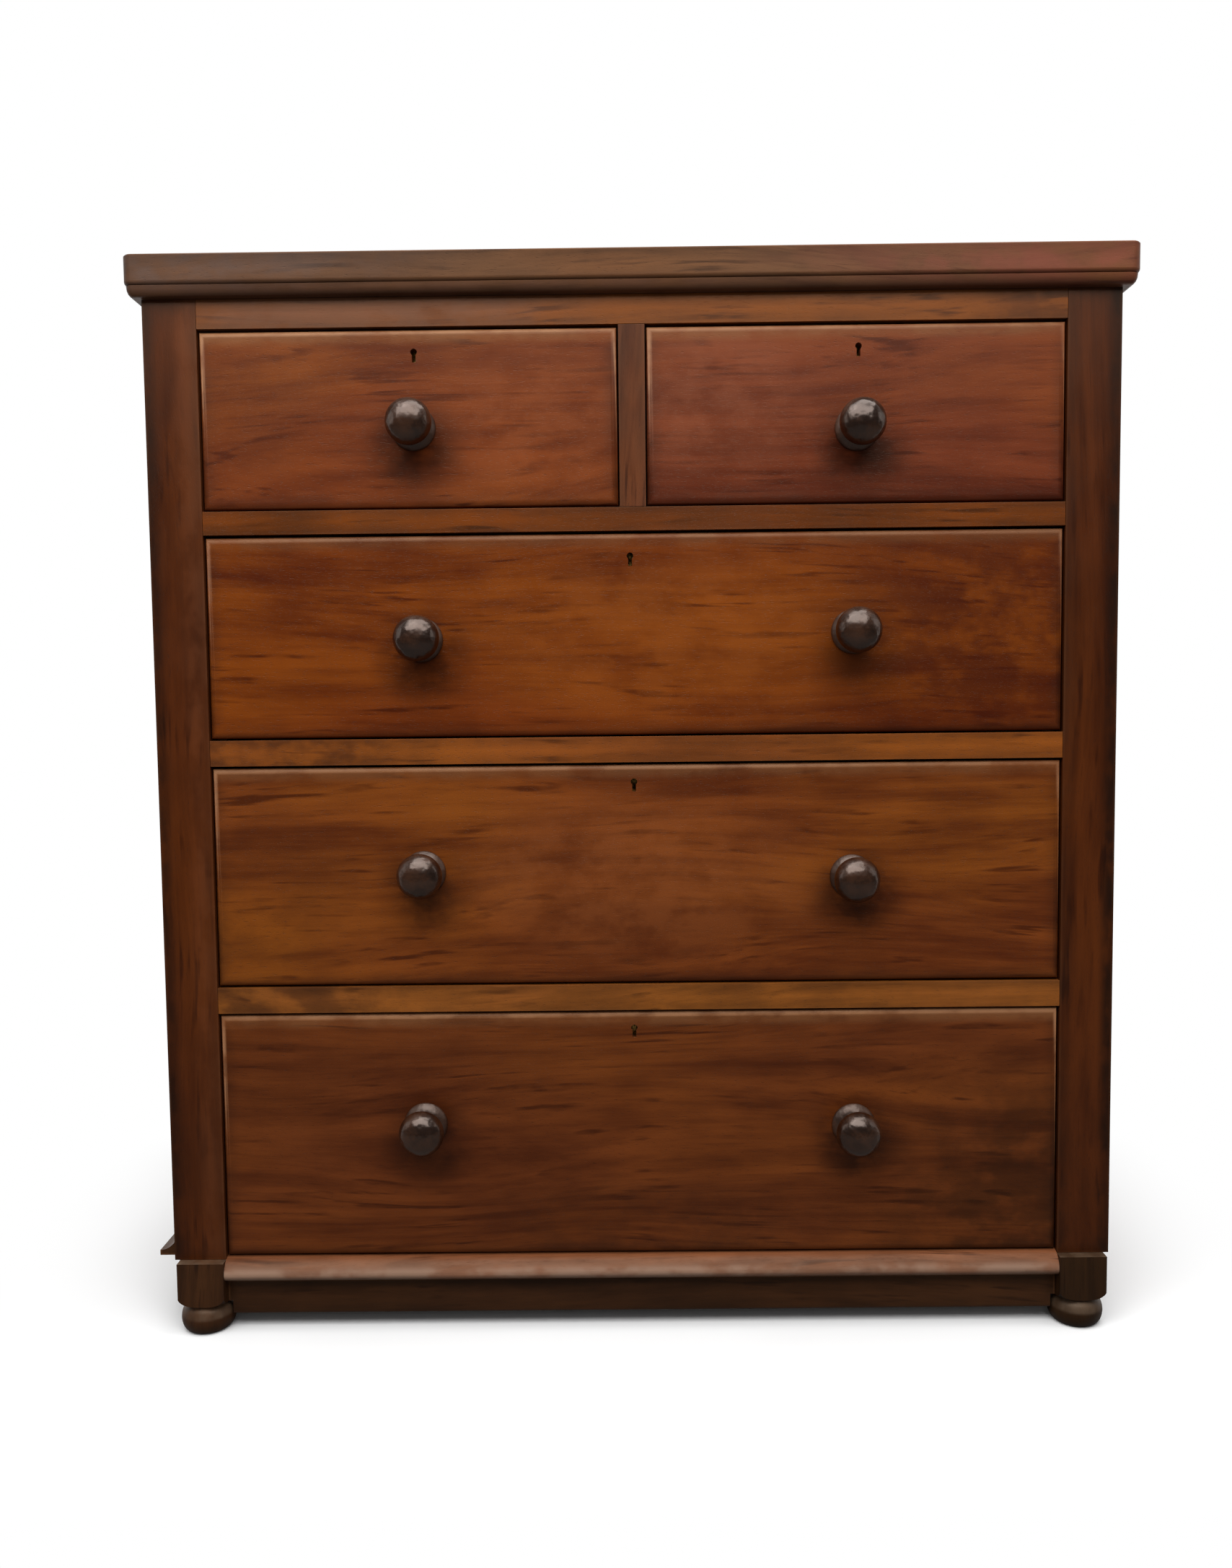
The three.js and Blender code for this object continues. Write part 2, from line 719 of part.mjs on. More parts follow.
// A knob is turned in one piece: shank, flange, waist and a flattened ball
function knob(name, { x, z }) {
  const start = THREE.MathUtils.degToRad(knobHeadStartAngle);
  const headRadii = [knobHeadRadius, knobHeadHalfDepth];
  const head = arc([0, knobHeadDistance], headRadii, start, Math.PI / 2, headSteps).slice(0, -1);
  const [outer, inner] = knobFlangeAngles.map((degrees) => THREE.MathUtils.degToRad(degrees));
  const flangeCentre = [
    knobFlangeRadius - knobFlangeCurve * Math.cos(outer),
    knobFlangeEdge - knobFlangeCurve * Math.sin(outer),
  ];
  const flange = arc(flangeCentre, [knobFlangeCurve, knobFlangeCurve], outer, inner, roundSteps);
  const profile = [
    [0, jointGap - frontThickness],
    [knobShankRadius, jointGap - frontThickness],
    [knobShankRadius, jointGap],
    [knobFlangeRadius, jointGap],
    ...flange,
    [knobWaistRadius, knobWaistDistance],
    ...head,
    [0, knobReach],
  ];
  const geometry = turned(profile, knobSides).rotateX(Math.PI / 2).translate(x, frontSetback, z);
  return piece(name, geometry, 'darkKnob');
}

function drawer(name, opening, { keyhole: keyPlace, knobs: knobPlaces }) {
  const plan = drawerPlan(opening, keyPlace);
  const knobs = Object.entries(knobPlaces)
    .map(([label, [right, up]]) => ({ label, x: plan.middle.x + right, z: plan.middle.z + up }));
  return [
    drawerFront(`${name}_front`, plan, knobs),
    drawerSide(`${name}_side_left`, plan, -1),
    drawerSide(`${name}_side_right`, plan, 1),
    drawerBack(`${name}_back`, plan),
    drawerBottom(`${name}_bottom`, plan),
    lock(`${name}_lock`, plan),
    ...knobs.map((place) => knob(`${name}_${place.label}`, place)),
  ];
}

const shortX = [dividerWidth / 2, innerStile];
const longX = [-innerStile, innerStile];
const openings = {
  short_drawer_left: { x: mirrored(shortX), z: [shortBottom, shortTop] },
  short_drawer_right: { x: shortX, z: [shortBottom, shortTop] },
  upper_drawer: { x: longX, z: [upperBottom, upperTop] },
  middle_drawer: { x: longX, z: [middleBottom, middleTop] },
  lower_drawer: { x: longX, z: [sillTop, lowerTop] },
};

const chest = new THREE.Group();
chest.add(
  topBoard(),
  stile('stile_left', -1),
  stile('stile_right', 1),
  side('side_left', -1),
  side('side_right', 1),
  backPanel(),
  ...rails(),
  piece('drawer_divider', dividerGeometry(), 'mahogany'),
  ...dustBoards(),
  centreGuide(),
  bottomBoard(),
  plinthRail(),
  frontFoot('front_foot_left', -1),
  frontFoot('front_foot_right', 1),
  rearFoot('rear_foot_left', -1),
  rearFoot('rear_foot_right', 1),
  sideMoulding(),
  ...Object.keys(openings).flatMap((name) => drawer(name, openings[name], fittings[name])),
);

// The origin is on the floor in the middle of the overall box
const reachLeft = halfWidth + Math.max(topOverhang, sideMouldingReach);
const reachRight = halfWidth + topOverhang;
const reachFront = Math.max(knobReach - frontSetback, topOverhang);
chest.position.set((reachLeft - reachRight) / 2, (reachFront - carcaseDepth) / 2, 0);

export default chest;
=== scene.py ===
# %% [markdown]
# # A mahogany chest of drawers
# Two short drawers stand over three long ones, between plain stiles, under a thick top with
# a moulded edge. The chest stands on square blocks with turned feet. The solids of every
# board, drawer, knob and foot come in model.glb. This file gives them their finish, turns
# the knobs and the feet more finely than the solids do, and sets the light, the floor and
# the camera.
#
# The first cell loads the solids and keeps the size of the box that they fill.

# %% Load the solids
import math

import bmesh
import bpy
from mathutils import Matrix, Vector


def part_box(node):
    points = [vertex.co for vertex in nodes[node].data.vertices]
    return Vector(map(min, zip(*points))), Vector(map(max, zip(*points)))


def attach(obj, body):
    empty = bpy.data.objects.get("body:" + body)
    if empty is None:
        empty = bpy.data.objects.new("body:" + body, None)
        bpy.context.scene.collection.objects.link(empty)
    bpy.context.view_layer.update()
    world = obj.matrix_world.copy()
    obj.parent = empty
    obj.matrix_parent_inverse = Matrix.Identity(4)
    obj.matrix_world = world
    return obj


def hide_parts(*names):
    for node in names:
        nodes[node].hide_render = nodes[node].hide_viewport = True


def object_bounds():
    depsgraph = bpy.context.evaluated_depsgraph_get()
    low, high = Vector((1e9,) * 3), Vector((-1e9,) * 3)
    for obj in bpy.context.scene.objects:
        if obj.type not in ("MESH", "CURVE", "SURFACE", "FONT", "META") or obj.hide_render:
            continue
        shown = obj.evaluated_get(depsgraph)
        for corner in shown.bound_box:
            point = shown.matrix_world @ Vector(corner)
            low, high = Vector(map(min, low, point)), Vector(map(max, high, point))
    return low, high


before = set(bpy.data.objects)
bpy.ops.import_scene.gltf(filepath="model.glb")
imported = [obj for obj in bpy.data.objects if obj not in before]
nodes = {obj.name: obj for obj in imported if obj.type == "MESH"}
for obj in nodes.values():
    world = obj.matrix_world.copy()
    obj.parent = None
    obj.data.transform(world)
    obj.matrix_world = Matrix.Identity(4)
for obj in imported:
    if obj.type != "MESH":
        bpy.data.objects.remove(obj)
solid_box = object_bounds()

MM = 0.001
size = [high - low for low, high in zip(*solid_box)]
print(f"solids: {len(nodes)}, overall size {[round(s / MM) for s in size]} mm")

# %% [markdown]
# ## Where the camera stands
# A front view of furniture is taken from straight ahead, with the lens about halfway up, so
# that upright lines stay upright. Here the camera stands a little left of the middle, close
# to the chest, and looks down by a few degrees. A short lens from nearby shows the underside
# of the top edge and the tops of the blocks at the same time. Its place is given from the
# front plane of the stiles and from the floor.

# %% Camera
PICTURE_WIDTH = 1708
FOCAL_PIXELS = 1650
SENSOR_MM = 36
CAMERA_DISTANCE = 1.378
CAMERA_SIDEWAYS = -0.0145
CAMERA_HEIGHT = 0.737
TURN_RIGHT = math.radians(-0.35)
LOOK_DOWN = math.radians(3.61)
ROLL = math.radians(-0.64)

stile_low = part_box("stile_left")[0]
front_plane = stile_low.y
carcase_middle = (stile_low.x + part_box("stile_right")[1].x) / 2


def in_scene(name, data):
    """Makes an object of a camera, lamp or mesh and puts it in the scene."""
    obj = bpy.data.objects.new(name, data)
    bpy.context.scene.collection.objects.link(obj)
    return obj


forward = Vector((
    math.sin(TURN_RIGHT) * math.cos(LOOK_DOWN),
    math.cos(TURN_RIGHT) * math.cos(LOOK_DOWN),
    -math.sin(LOOK_DOWN),
))
level_right = Vector((math.cos(TURN_RIGHT), -math.sin(TURN_RIGHT), 0))
level_up = level_right.cross(forward)
camera_right = math.cos(ROLL) * level_right + math.sin(ROLL) * level_up
camera_up = -math.sin(ROLL) * level_right + math.cos(ROLL) * level_up

camera_data = bpy.data.cameras.new("camera")
camera_data.sensor_fit = "HORIZONTAL"
camera_data.sensor_width = SENSOR_MM
camera_data.lens = SENSOR_MM * FOCAL_PIXELS / PICTURE_WIDTH
camera = in_scene("camera", camera_data)
camera.matrix_world = Matrix((camera_right, camera_up, -forward)).transposed().to_4x4()
camera.matrix_world.translation = Vector((
    carcase_middle + CAMERA_SIDEWAYS,
    front_plane - CAMERA_DISTANCE,
    CAMERA_HEIGHT,
))
bpy.context.scene.camera = camera
print(f"camera: lens {camera_data.lens:.1f} mm at {tuple(round(c, 3) for c in camera.location)}")

# %% [markdown]
# ## Small tools for shader nodes
# Every finish here, and the room too, is a small network of nodes: noises, sums and mixes of
# colours. Written out in full, each node takes a line for every socket. These short functions
# add one node, fill or link its sockets and hand back its result, so that the recipes further
# down read like sums.

# %% Add and link nodes
def put(tree, value, socket):
    """Sets a plain value on a socket, or links the output of another node to it."""
    if isinstance(value, bpy.types.NodeSocket):
        tree.links.new(value, socket)
    else:
        socket.default_value = value


def filled(tree, kind, values, **settings):
    """Adds a node, applies its settings and fills its sockets in order."""
    node = tree.nodes.new(kind)
    for name, setting in settings.items():
        setattr(node, name, setting)
    for value, socket in zip(values, node.inputs):
        put(tree, value, socket)
    return node


print("nodes can be added and linked")


# %% Sums, vectors and ranges
def math_of(tree, operation, *values, clamp=False):
    return filled(tree, "ShaderNodeMath", values, operation=operation, use_clamp=clamp).outputs[0]


def vector_of(tree, operation, *values):
    node = filled(tree, "ShaderNodeVectorMath", values, operation=operation)
    return node.outputs["Value" if operation == "LENGTH" else "Vector"]


def axes_of(tree, vector):
    """The x, y and z of a vector."""
    return filled(tree, "ShaderNodeSeparateXYZ", [vector]).outputs


def vector_from(tree, *axes):
    """A vector from its x, y and z. One that isn't given is zero."""
    return filled(tree, "ShaderNodeCombineXYZ", axes).outputs[0]


def ranged(tree, value, start, end, low=0.0, high=1.0, curve="SMOOTHSTEP"):
    """Maps start..end to low..high and keeps to those limits, along a soft S curve unless
    another curve is given."""
    values = (value, start, end, low, high)
    return filled(tree, "ShaderNodeMapRange", values, interpolation_type=curve).outputs["Result"]


def weighted_sum(tree, start, *parts):
    """Adds to the start each value times its share."""
    total = start
    for value, share in parts:
        total = math_of(tree, "MULTIPLY_ADD", value, share, total)
    return total


print("sums, vectors and ranges ready")


# %% Noises and colours
def noise(tree, vector, detail, roughness):
    node = tree.nodes.new("ShaderNodeTexNoise")
    put(tree, vector, node.inputs["Vector"])
    node.inputs["Scale"].default_value = 1
    node.inputs["Detail"].default_value = detail
    node.inputs["Roughness"].default_value = roughness
    return node.outputs["Fac"]


# The Mix node keeps a socket of each name for every kind of value, and only those of the
# kind in use are enabled
def colour_mix(tree, amount, first, second):
    node = tree.nodes.new("ShaderNodeMix")
    node.data_type = "RGBA"
    for value, socket in zip((amount, first, second), [s for s in node.inputs if s.enabled]):
        put(tree, value, socket)
    return next(s for s in node.outputs if s.enabled)


def tone(red, green, blue):
    """A colour that is written as the eye reads it, 0 to 255, as light."""
    def light(channel):
        share = channel / 255
        return share / 12.92 if share <= 0.04045 else ((share + 0.055) / 1.055) ** 2.4
    return (light(red), light(green), light(blue), 1.0)


def object_place(tree):
    """Where a point lies in its object, in metres."""
    return tree.nodes.new("ShaderNodeTexCoord").outputs["Object"]


print("a middle brown as light:", [round(channel, 3) for channel in tone(120, 70, 40)])

# %% [markdown]
# ## Light and room
# Polished wood shows what stands around it, so the room matters as much as the lamps. The
# chest stands on a pale floor in a white studio. One very wide soft lamp hangs in front of it
# and above, like a bright window high up: it gives the rounded upper edges their bright line
# and the knobs their broad highlight. A second wide lamp hangs overhead and lights the top.
# Two very weak lamps stand at the sides, one lights the back, and a soft grey room fills the
# rest.
# The white behind the chest is painted on the world for the camera, and for gloss that looks
# that way, and doesn't light the chest.

# %% World
ROOM_ABOVE = 0.52
ROOM_LOW = 0.24
ROOM_IN_GLOSS = 0.25
# The directions, up and to the back, between which the room and the backdrop come in
ROOM_RISE = (-0.1, 0.8)
BACKDROP_START = (-0.25, 0.15)


def shine_rays(tree):
    """1 for rays that gloss or glass sends out."""
    path = tree.nodes.new("ShaderNodeLightPath").outputs
    return math_of(tree, "MAXIMUM", path["Is Glossy Ray"], path["Is Transmission Ray"])


def shown_white(tree, shine, behind):
    """1 for the camera, and for gloss as far as it looks to the back of the studio."""
    camera_ray = tree.nodes.new("ShaderNodeLightPath").outputs["Is Camera Ray"]
    return math_of(tree, "MAXIMUM", camera_ray, math_of(tree, "MULTIPLY", shine, behind))


def paint_world(tree):
    tree.nodes.clear()
    output = tree.nodes.new("ShaderNodeOutputWorld")
    background = tree.nodes.new("ShaderNodeBackground")
    _, back, up = axes_of(tree, tree.nodes.new("ShaderNodeTexCoord").outputs["Generated"])
    shine = shine_rays(tree)
    white = shown_white(tree, shine, ranged(tree, back, *BACKDROP_START, curve="LINEAR"))
    room = ranged(tree, up, *ROOM_RISE, ROOM_LOW, ROOM_ABOVE, curve="LINEAR")
    dimmed = ranged(tree, shine, 0, 1, 1, ROOM_IN_GLOSS, curve="LINEAR")
    strength = math_of(tree, "MAXIMUM", math_of(tree, "MULTIPLY", room, dimmed), white)
    background.inputs["Color"].default_value = (1, 1, 1, 1)
    tree.links.new(strength, background.inputs["Strength"])
    tree.links.new(background.outputs[0], output.inputs["Surface"])


world = bpy.data.worlds.new("studio")
bpy.context.scene.world = world
world.use_nodes = True
paint_world(world.node_tree)
bpy.context.scene.view_settings.view_transform = "Standard"
print(f"world: room from {ROOM_LOW} low down to {ROOM_ABOVE} above")

# %% Lamps
# Of each lamp: its place, where it aims, its width and height in metres and its watts
LAMPS = {
    "lamp_front": ((-0.15, -1.75, 2.45), (0, -0.25, 0.62), 3.4, 1.4, 60),
    "lamp_above": ((0.15, -0.75, 3.0), (0.1, -0.5, 0), 2.8, 1.0, 30),
    "lamp_left": ((-2.6, -0.9, 1.7), (0, -0.1, 0.6), 0.8, 1.2, 3),
    "lamp_right": ((2.6, -0.9, 1.7), (0, -0.1, 0.6), 0.8, 1.2, 3),
    "lamp_back": ((0.3, 2.4, 1.9), (0, 0.28, 0.6), 2.2, 1.2, 22),
}


def soft_lamp(name, place, aim, width, height, watts):
    data = bpy.data.lights.new(name, "AREA")
    data.shape = "RECTANGLE"
    data.size = width
    data.size_y = height
    data.energy = watts
    lamp = in_scene(name, data)
    lamp.location = place
    lamp.rotation_euler = (Vector(aim) - Vector(place)).to_track_quat("-Z", "Y").to_euler()
    # A white lamp face of this power has this brightness
    brightness = watts / (math.pi * width * height)
    print(f"{name}: {watts} W, brightness {brightness:.1f}")


for name, lamp_values in LAMPS.items():
    soft_lamp(name, *lamp_values)

# %% [markdown]
# ## Wood
# All the mahogany here comes from one recipe. Timber is drawn in the board itself, along its
# length, from noises that are stretched along the grain: broad bands from the growth of the
# tree, streaks a few millimetres wide, and short dark pores. A painted picture would need a
# cut for every board and would blur close by, while noises in real sizes run through the
# board, as grain does, and stay sharp. The same recipe then darkens each board towards its
# edges, wears the sharp edges, can paint a highlight on edges that face up, and gives the polish.

# %% Where a point lies in its timber
AXES = {"x": (0, 1, 2), "y": (1, 0, 2), "z": (2, 0, 1)}
SEED_SHIFT = (3.71, 1.37, 2.53)


def along_grain(tree, axes, along, seed, slope=0.0):
    """A point's place in its timber, in metres, with the grain's direction first. The seed
    picks another part of the log, and the grain climbs by the slope along its length."""
    length, *across = (axes[i] for i in AXES[along])
    climbing = [math_of(tree, "MULTIPLY_ADD", length, -slope, side) for side in across]
    shift = [seed * share for share in SEED_SHIFT]
    return vector_of(tree, "ADD", vector_from(tree, length, *climbing), shift)


def grain(tree, timber, length, across, detail, roughness):
    """A noise with this many waves in a metre along the grain and across it."""
    stretched = vector_of(tree, "MULTIPLY", timber, (length, across, across))
    return noise(tree, stretched, detail, roughness)


def edge_distance(tree, axes, box):
    """How far a point of a board's surface is from the nearest edge of the board."""
    gaps = []
    for axis, low, high in zip(axes, *box):
        offset = math_of(tree, "SUBTRACT", axis, (low + high) / 2)
        gaps.append(math_of(tree, "SUBTRACT", (high - low) / 2, math_of(tree, "ABSOLUTE", offset)))
    smaller = math_of(tree, "MINIMUM", gaps[0], gaps[1])
    larger = math_of(tree, "MAXIMUM", gaps[0], gaps[1])
    return math_of(tree, "MAXIMUM", smaller, math_of(tree, "MINIMUM", larger, gaps[2]))


print("grain can run along:", ", ".join(AXES))

# %% Bands, streaks, flecks and pores
# Of each noise: its waves in a metre along the grain and across it, detail and roughness
DRIFT = (1.5, 6, 1, 0.5)
SWAY = 0.11
SWAYING_NOISES = {
    "bands": (1.2, 15, 2, 0.5),
    "streaks": (4.2, 60, 3, 0.55),
    "flecks": (9, 135, 2, 0.5),
    "fibres": (15, 520, 2, 0.55),
    "pores": (170, 1500, 1, 0.4),
}
STILL_NOISES = {
    "mottle": (13, 26, 3, 0.55),
    "patches": (2.2, 5, 2, 0.5),
    "unevenness": (20, 30, 3, 0.6),
}
PORE_RANGE = (0.6, 0.8)


def timber_noises(tree, timber):
    """The noises of a board, by name. Those that follow the fibres sway as the tree did."""
    drift = math_of(tree, "SUBTRACT", grain(tree, timber, *DRIFT), 0.5)
    sway = math_of(tree, "MULTIPLY", drift, SWAY)
    wavy = vector_of(tree, "ADD", timber, vector_from(tree, 0, sway, sway))
    noises = {name: grain(tree, wavy, *waves) for name, waves in SWAYING_NOISES.items()}
    noises.update((name, grain(tree, timber, *waves)) for name, waves in STILL_NOISES.items())
    noises["pores"] = ranged(tree, noises["pores"], *PORE_RANGE)
    return noises


print(f"noises in mahogany: {len(SWAYING_NOISES) + len(STILL_NOISES)}")

# %% The colour of the timber
# How much each noise counts in the figure, and between which sums it turns dark to light
FIGURE_SHARES = {"bands": 1.0, "streaks": 0.95, "mottle": 0.5, "patches": 0.7, "fibres": 0.2}
FIGURE_RANGE = (1.2, 2.12)
WARM_RANGE, WARM_MOST = (0.4, 0.66), 0.8
FLECK_RANGE, FLECK_MOST, FLECK_BLACK, FLECK_TONE = (0.53, 0.7), 0.85, 0.3, tone(24, 4, 2)
FLECK_SHADE_RANGE, FLECK_SHADE_LEAST = (0.45, 0.62), 0.3
PORE_MOST, PORE_TONE = 0.3, tone(20, 9, 5)


def timber_colour(tree, noises, tones):
    """A dark and a light tone by the figure, warm patches, dark flecks and pores."""
    dark, light, warm = tones
    shares = [(noises[name], share) for name, share in FIGURE_SHARES.items()]
    figure = ranged(tree, weighted_sum(tree, 0, *shares), *FIGURE_RANGE)
    colour = colour_mix(tree, figure, dark, light)
    warmth = ranged(tree, noises["patches"], *WARM_RANGE, 0, WARM_MOST)
    colour = colour_mix(tree, warmth, colour, colour_mix(tree, figure, dark, warm))
    shade = ranged(tree, noises["mottle"], *FLECK_SHADE_RANGE, FLECK_SHADE_LEAST, 1)
    flecks = ranged(tree, noises["flecks"], *FLECK_RANGE, 0, FLECK_MOST)
    fleck_tone = colour_mix(tree, FLECK_BLACK, dark, FLECK_TONE)
    colour = colour_mix(tree, math_of(tree, "MULTIPLY", flecks, shade), colour, fleck_tone)
    pores = math_of(tree, "MULTIPLY", noises["pores"], PORE_MOST)
    return colour_mix(tree, pores, colour, PORE_TONE)


print(f"noises in the figure: {', '.join(FIGURE_SHARES)}")

# %% [markdown]
# ## What use and light do to a board
# A board is darker near its edges, has a pale line where its arris is rubbed, and has tinted
# places: grime where it was touched, bleached places, and some painted shade, painted shadow
# and painted reflection. Edges that face up can be painted paler, as painted highlight and, on
# the feet, as dust. Each is a mask from a distance, to an edge or to a spot, and a noise
# breaks it up, because no real wear is even.

# %% Dark edges, wear, painted highlight and tinted places
EDGE_DARKENING_REACH, EDGE_DARKENING_MOST, EDGE_DARKENING_GAIN, EDGE_DARKENING_TONE = 0.022, 0.4, 1.6, tone(26, 13, 7)
RUBBED_RANGE, RUBBED_TONE = (0.0006, 0.0032), tone(140, 92, 58)
LEDGE_RANGE, LEDGE_LEAST = (0.004, 0.014), 0.55
UPWARD_RANGE = (0.05, 0.25)
SPOT_CORE = 0.3


def with_spots(tree, colour, place, patchy, spots):
    """Tints each spot, unevenly, from its core out to its radii."""
    for centre, radii, tint, strength in spots:
        away = vector_of(tree, "DIVIDE", vector_of(tree, "SUBTRACT", place, centre), radii)
        near = ranged(tree, vector_of(tree, "LENGTH", away), SPOT_CORE, 1, strength, 0)
        colour = colour_mix(tree, math_of(tree, "MULTIPLY", near, patchy), colour, tint)
    return colour


# Darker within a reach of each edge of a board, and unevenly
def darkened_at_edges(tree, distance, unevenness):
    near = ranged(tree, distance, 0, EDGE_DARKENING_REACH, EDGE_DARKENING_MOST, 0)
    edge_darkening = math_of(tree, "MULTIPLY", near, unevenness)
    return math_of(tree, "MULTIPLY", edge_darkening, EDGE_DARKENING_GAIN, clamp=True)


def ledge_highlight_and_dust(tree, distance, patchy, amount):
    """How much an edge that faces up is painted paler, as painted highlight and as dust."""
    normal = tree.nodes.new("ShaderNodeNewGeometry").outputs["Normal"]
    upward = ranged(tree, axes_of(tree, normal)[2], *UPWARD_RANGE, 0, amount)
    ledge = math_of(tree, "MULTIPLY", upward,
                    ranged(tree, distance, *LEDGE_RANGE, 1, LEDGE_LEAST))
    return math_of(tree, "MULTIPLY", ledge, patchy)


print(f"dirt reaches {EDGE_DARKENING_REACH / MM:.0f} mm from an edge, rubbing {RUBBED_RANGE[1] / MM:.1f} mm")


# %% A new material and its relief
def new_material(name):
    material = bpy.data.materials.new(name)
    material.use_nodes = True
    tree = material.node_tree
    tree.nodes.clear()
    output = tree.nodes.new("ShaderNodeOutputMaterial")
    surface = tree.nodes.new("ShaderNodeBsdfPrincipled")
    tree.links.new(surface.outputs[0], output.inputs["Surface"])
    return material, tree, surface


def bumped(tree, surface, height, depth):
    bump = tree.nodes.new("ShaderNodeBump")
    bump.inputs["Strength"].default_value = 1
    bump.inputs["Distance"].default_value = depth
    put(tree, height, bump.inputs["Height"])
    tree.links.new(bump.outputs[0], surface.inputs["Normal"])


print("materials can be made")

# %% Mahogany
PATCHY_RANGE, PATCHY_LEAST = (0.34, 0.62), 0.35
# The tone painted on the upper edges of the fronts as highlight
UPWARD_HIGHLIGHT_TONE = tone(170, 122, 86)
OLD_POLISH = (1, 0.8, 0.62, 1)
# How much each thing dulls the polish, and how far it stands out of the surface
UNEVEN_DULLS, EDGE_DARKENING_DULLS, PORE_DULLS, POLISH_LIFT = 0.14, 0.2, 0.12, 0.06
FIBRE_RELIEF, PORE_RELIEF, STREAK_RELIEF, RELIEF_DEPTH = 0.4, -1.0, 0.8, 0.1 * MM


def mahogany(name, box, along, seed, tones, polish=0.3, shine=0.25, wear=0.3, top_highlight_and_dust=0.0,
             upward_tone=UPWARD_HIGHLIGHT_TONE, slope=0.0, spots=()):
    """Polished mahogany in a dark and a light tone of the timber and a warmer one for patches.
    Top highlight and dust is how much edges that face up are painted paler in the upward tone,
    as painted highlight and as dust. Slope is how far the grain runs off its board. Spots are
    tinted places, each with its radii, its tone and its strength: marks of use, and some painted
    shade, painted shadow and painted reflection."""
    material, tree, surface = new_material(name)
    place = object_place(tree)
    axes = axes_of(tree, place)
    noises = timber_noises(tree, along_grain(tree, axes, along, seed, slope))
    colour = timber_colour(tree, noises, tones)

    unevenness = noises["unevenness"]
    patchy = ranged(tree, unevenness, *PATCHY_RANGE, PATCHY_LEAST, 1)
    colour = with_spots(tree, colour, place, patchy, spots)
    distance = edge_distance(tree, axes, box)
    edge_darkening = darkened_at_edges(tree, distance, unevenness)
    colour = colour_mix(tree, edge_darkening, colour, EDGE_DARKENING_TONE)
    rubbed = math_of(tree, "MULTIPLY", ranged(tree, distance, *RUBBED_RANGE, wear, 0), patchy)
    colour = colour_mix(tree, rubbed, colour, RUBBED_TONE)
    # Edges that face up are painted paler: painted highlight on the fronts, dust and painted
    # highlight on the feet
    if top_highlight_and_dust:
        colour = colour_mix(tree, ledge_highlight_and_dust(tree, distance, patchy, top_highlight_and_dust), colour, upward_tone)

    tree.links.new(colour, surface.inputs["Base Color"])
    roughness = weighted_sum(tree, polish - POLISH_LIFT, (unevenness, UNEVEN_DULLS),
                             (edge_darkening, EDGE_DARKENING_DULLS), (noises["pores"], PORE_DULLS))
    tree.links.new(roughness, surface.inputs["Roughness"])
    surface.inputs["Specular IOR Level"].default_value = shine
    surface.inputs["Specular Tint"].default_value = OLD_POLISH
    relief = weighted_sum(tree, 0, (noises["fibres"], FIBRE_RELIEF),
                          (noises["pores"], PORE_RELIEF), (noises["streaks"], STREAK_RELIEF))
    bumped(tree, surface, relief, RELIEF_DEPTH)
    return material


print(f"mahogany recipe ready, relief {RELIEF_DEPTH / MM:.1f} mm")

# %% [markdown]
# ## Softening the edges
# The solids have knife edges, and no cabinet maker leaves one. A small round on each long
# edge is what catches the light and makes a board look solid. A bevel modifier does it
# without a change to the solid. Before it the loose triangles are joined, and after it the
# normals are weighted by area, so that the large faces stay flat and only the round is
# shaded round.

# %% Join loose triangles and shade by angle
JOIN_REACH = 0.01 * MM
HARD_ANGLE = math.radians(35)


def geometry_group(name):
    """An empty group of geometry nodes, with its way in and its way out."""
    group = bpy.data.node_groups.new(name, "GeometryNodeTree")
    for way in ("INPUT", "OUTPUT"):
        group.interface.new_socket("Geometry", in_out=way, socket_type="NodeSocketGeometry")
    start = group.nodes.new("NodeGroupInput").outputs[0]
    end = group.nodes.new("NodeGroupOutput").inputs[0]
    return group, start, end


def joining_group():
    """Joins loose triangles where their corners meet, and drops the solids' own normals."""
    group, start, end = geometry_group("join_triangles")
    merge = group.nodes.new("GeometryNodeMergeByDistance")
    merge.inputs["Distance"].default_value = JOIN_REACH
    forget = group.nodes.new("GeometryNodeRemoveAttribute")
    forget.inputs["Name"].default_value = "custom_normal"
    group.links.new(start, merge.inputs["Geometry"])
    group.links.new(merge.outputs[0], forget.inputs["Geometry"])
    group.links.new(forget.outputs[0], end)
    return group


def shading_group():
    """Shades smooth, with a hard edge wherever two faces meet at more than the hard angle."""
    group, start, end = geometry_group("shade_by_angle")
    edge = group.nodes.new("GeometryNodeInputMeshEdgeAngle")
    is_hard = group.nodes.new("FunctionNodeCompare")
    is_hard.data_type = "FLOAT"
    is_hard.operation = "GREATER_THAN"
    is_hard.inputs["B"].default_value = HARD_ANGLE
    group.links.new(edge.outputs["Unsigned Angle"], is_hard.inputs["A"])
    faces = group.nodes.new("GeometryNodeSetShadeSmooth")
    faces.domain = "FACE"
    faces.inputs["Shade Smooth"].default_value = True
    edges = group.nodes.new("GeometryNodeSetShadeSmooth")
    edges.domain = "EDGE"
    edges.inputs["Shade Smooth"].default_value = False
    group.links.new(start, faces.inputs["Geometry"])
    group.links.new(faces.outputs[0], edges.inputs["Geometry"])
    group.links.new(is_hard.outputs[0], edges.inputs["Selection"])
    group.links.new(edges.outputs[0], end)
    return group


JOIN = joining_group()
SHADE = shading_group()
print(f"edges over {math.degrees(HARD_ANGLE):.0f} degrees stay hard")

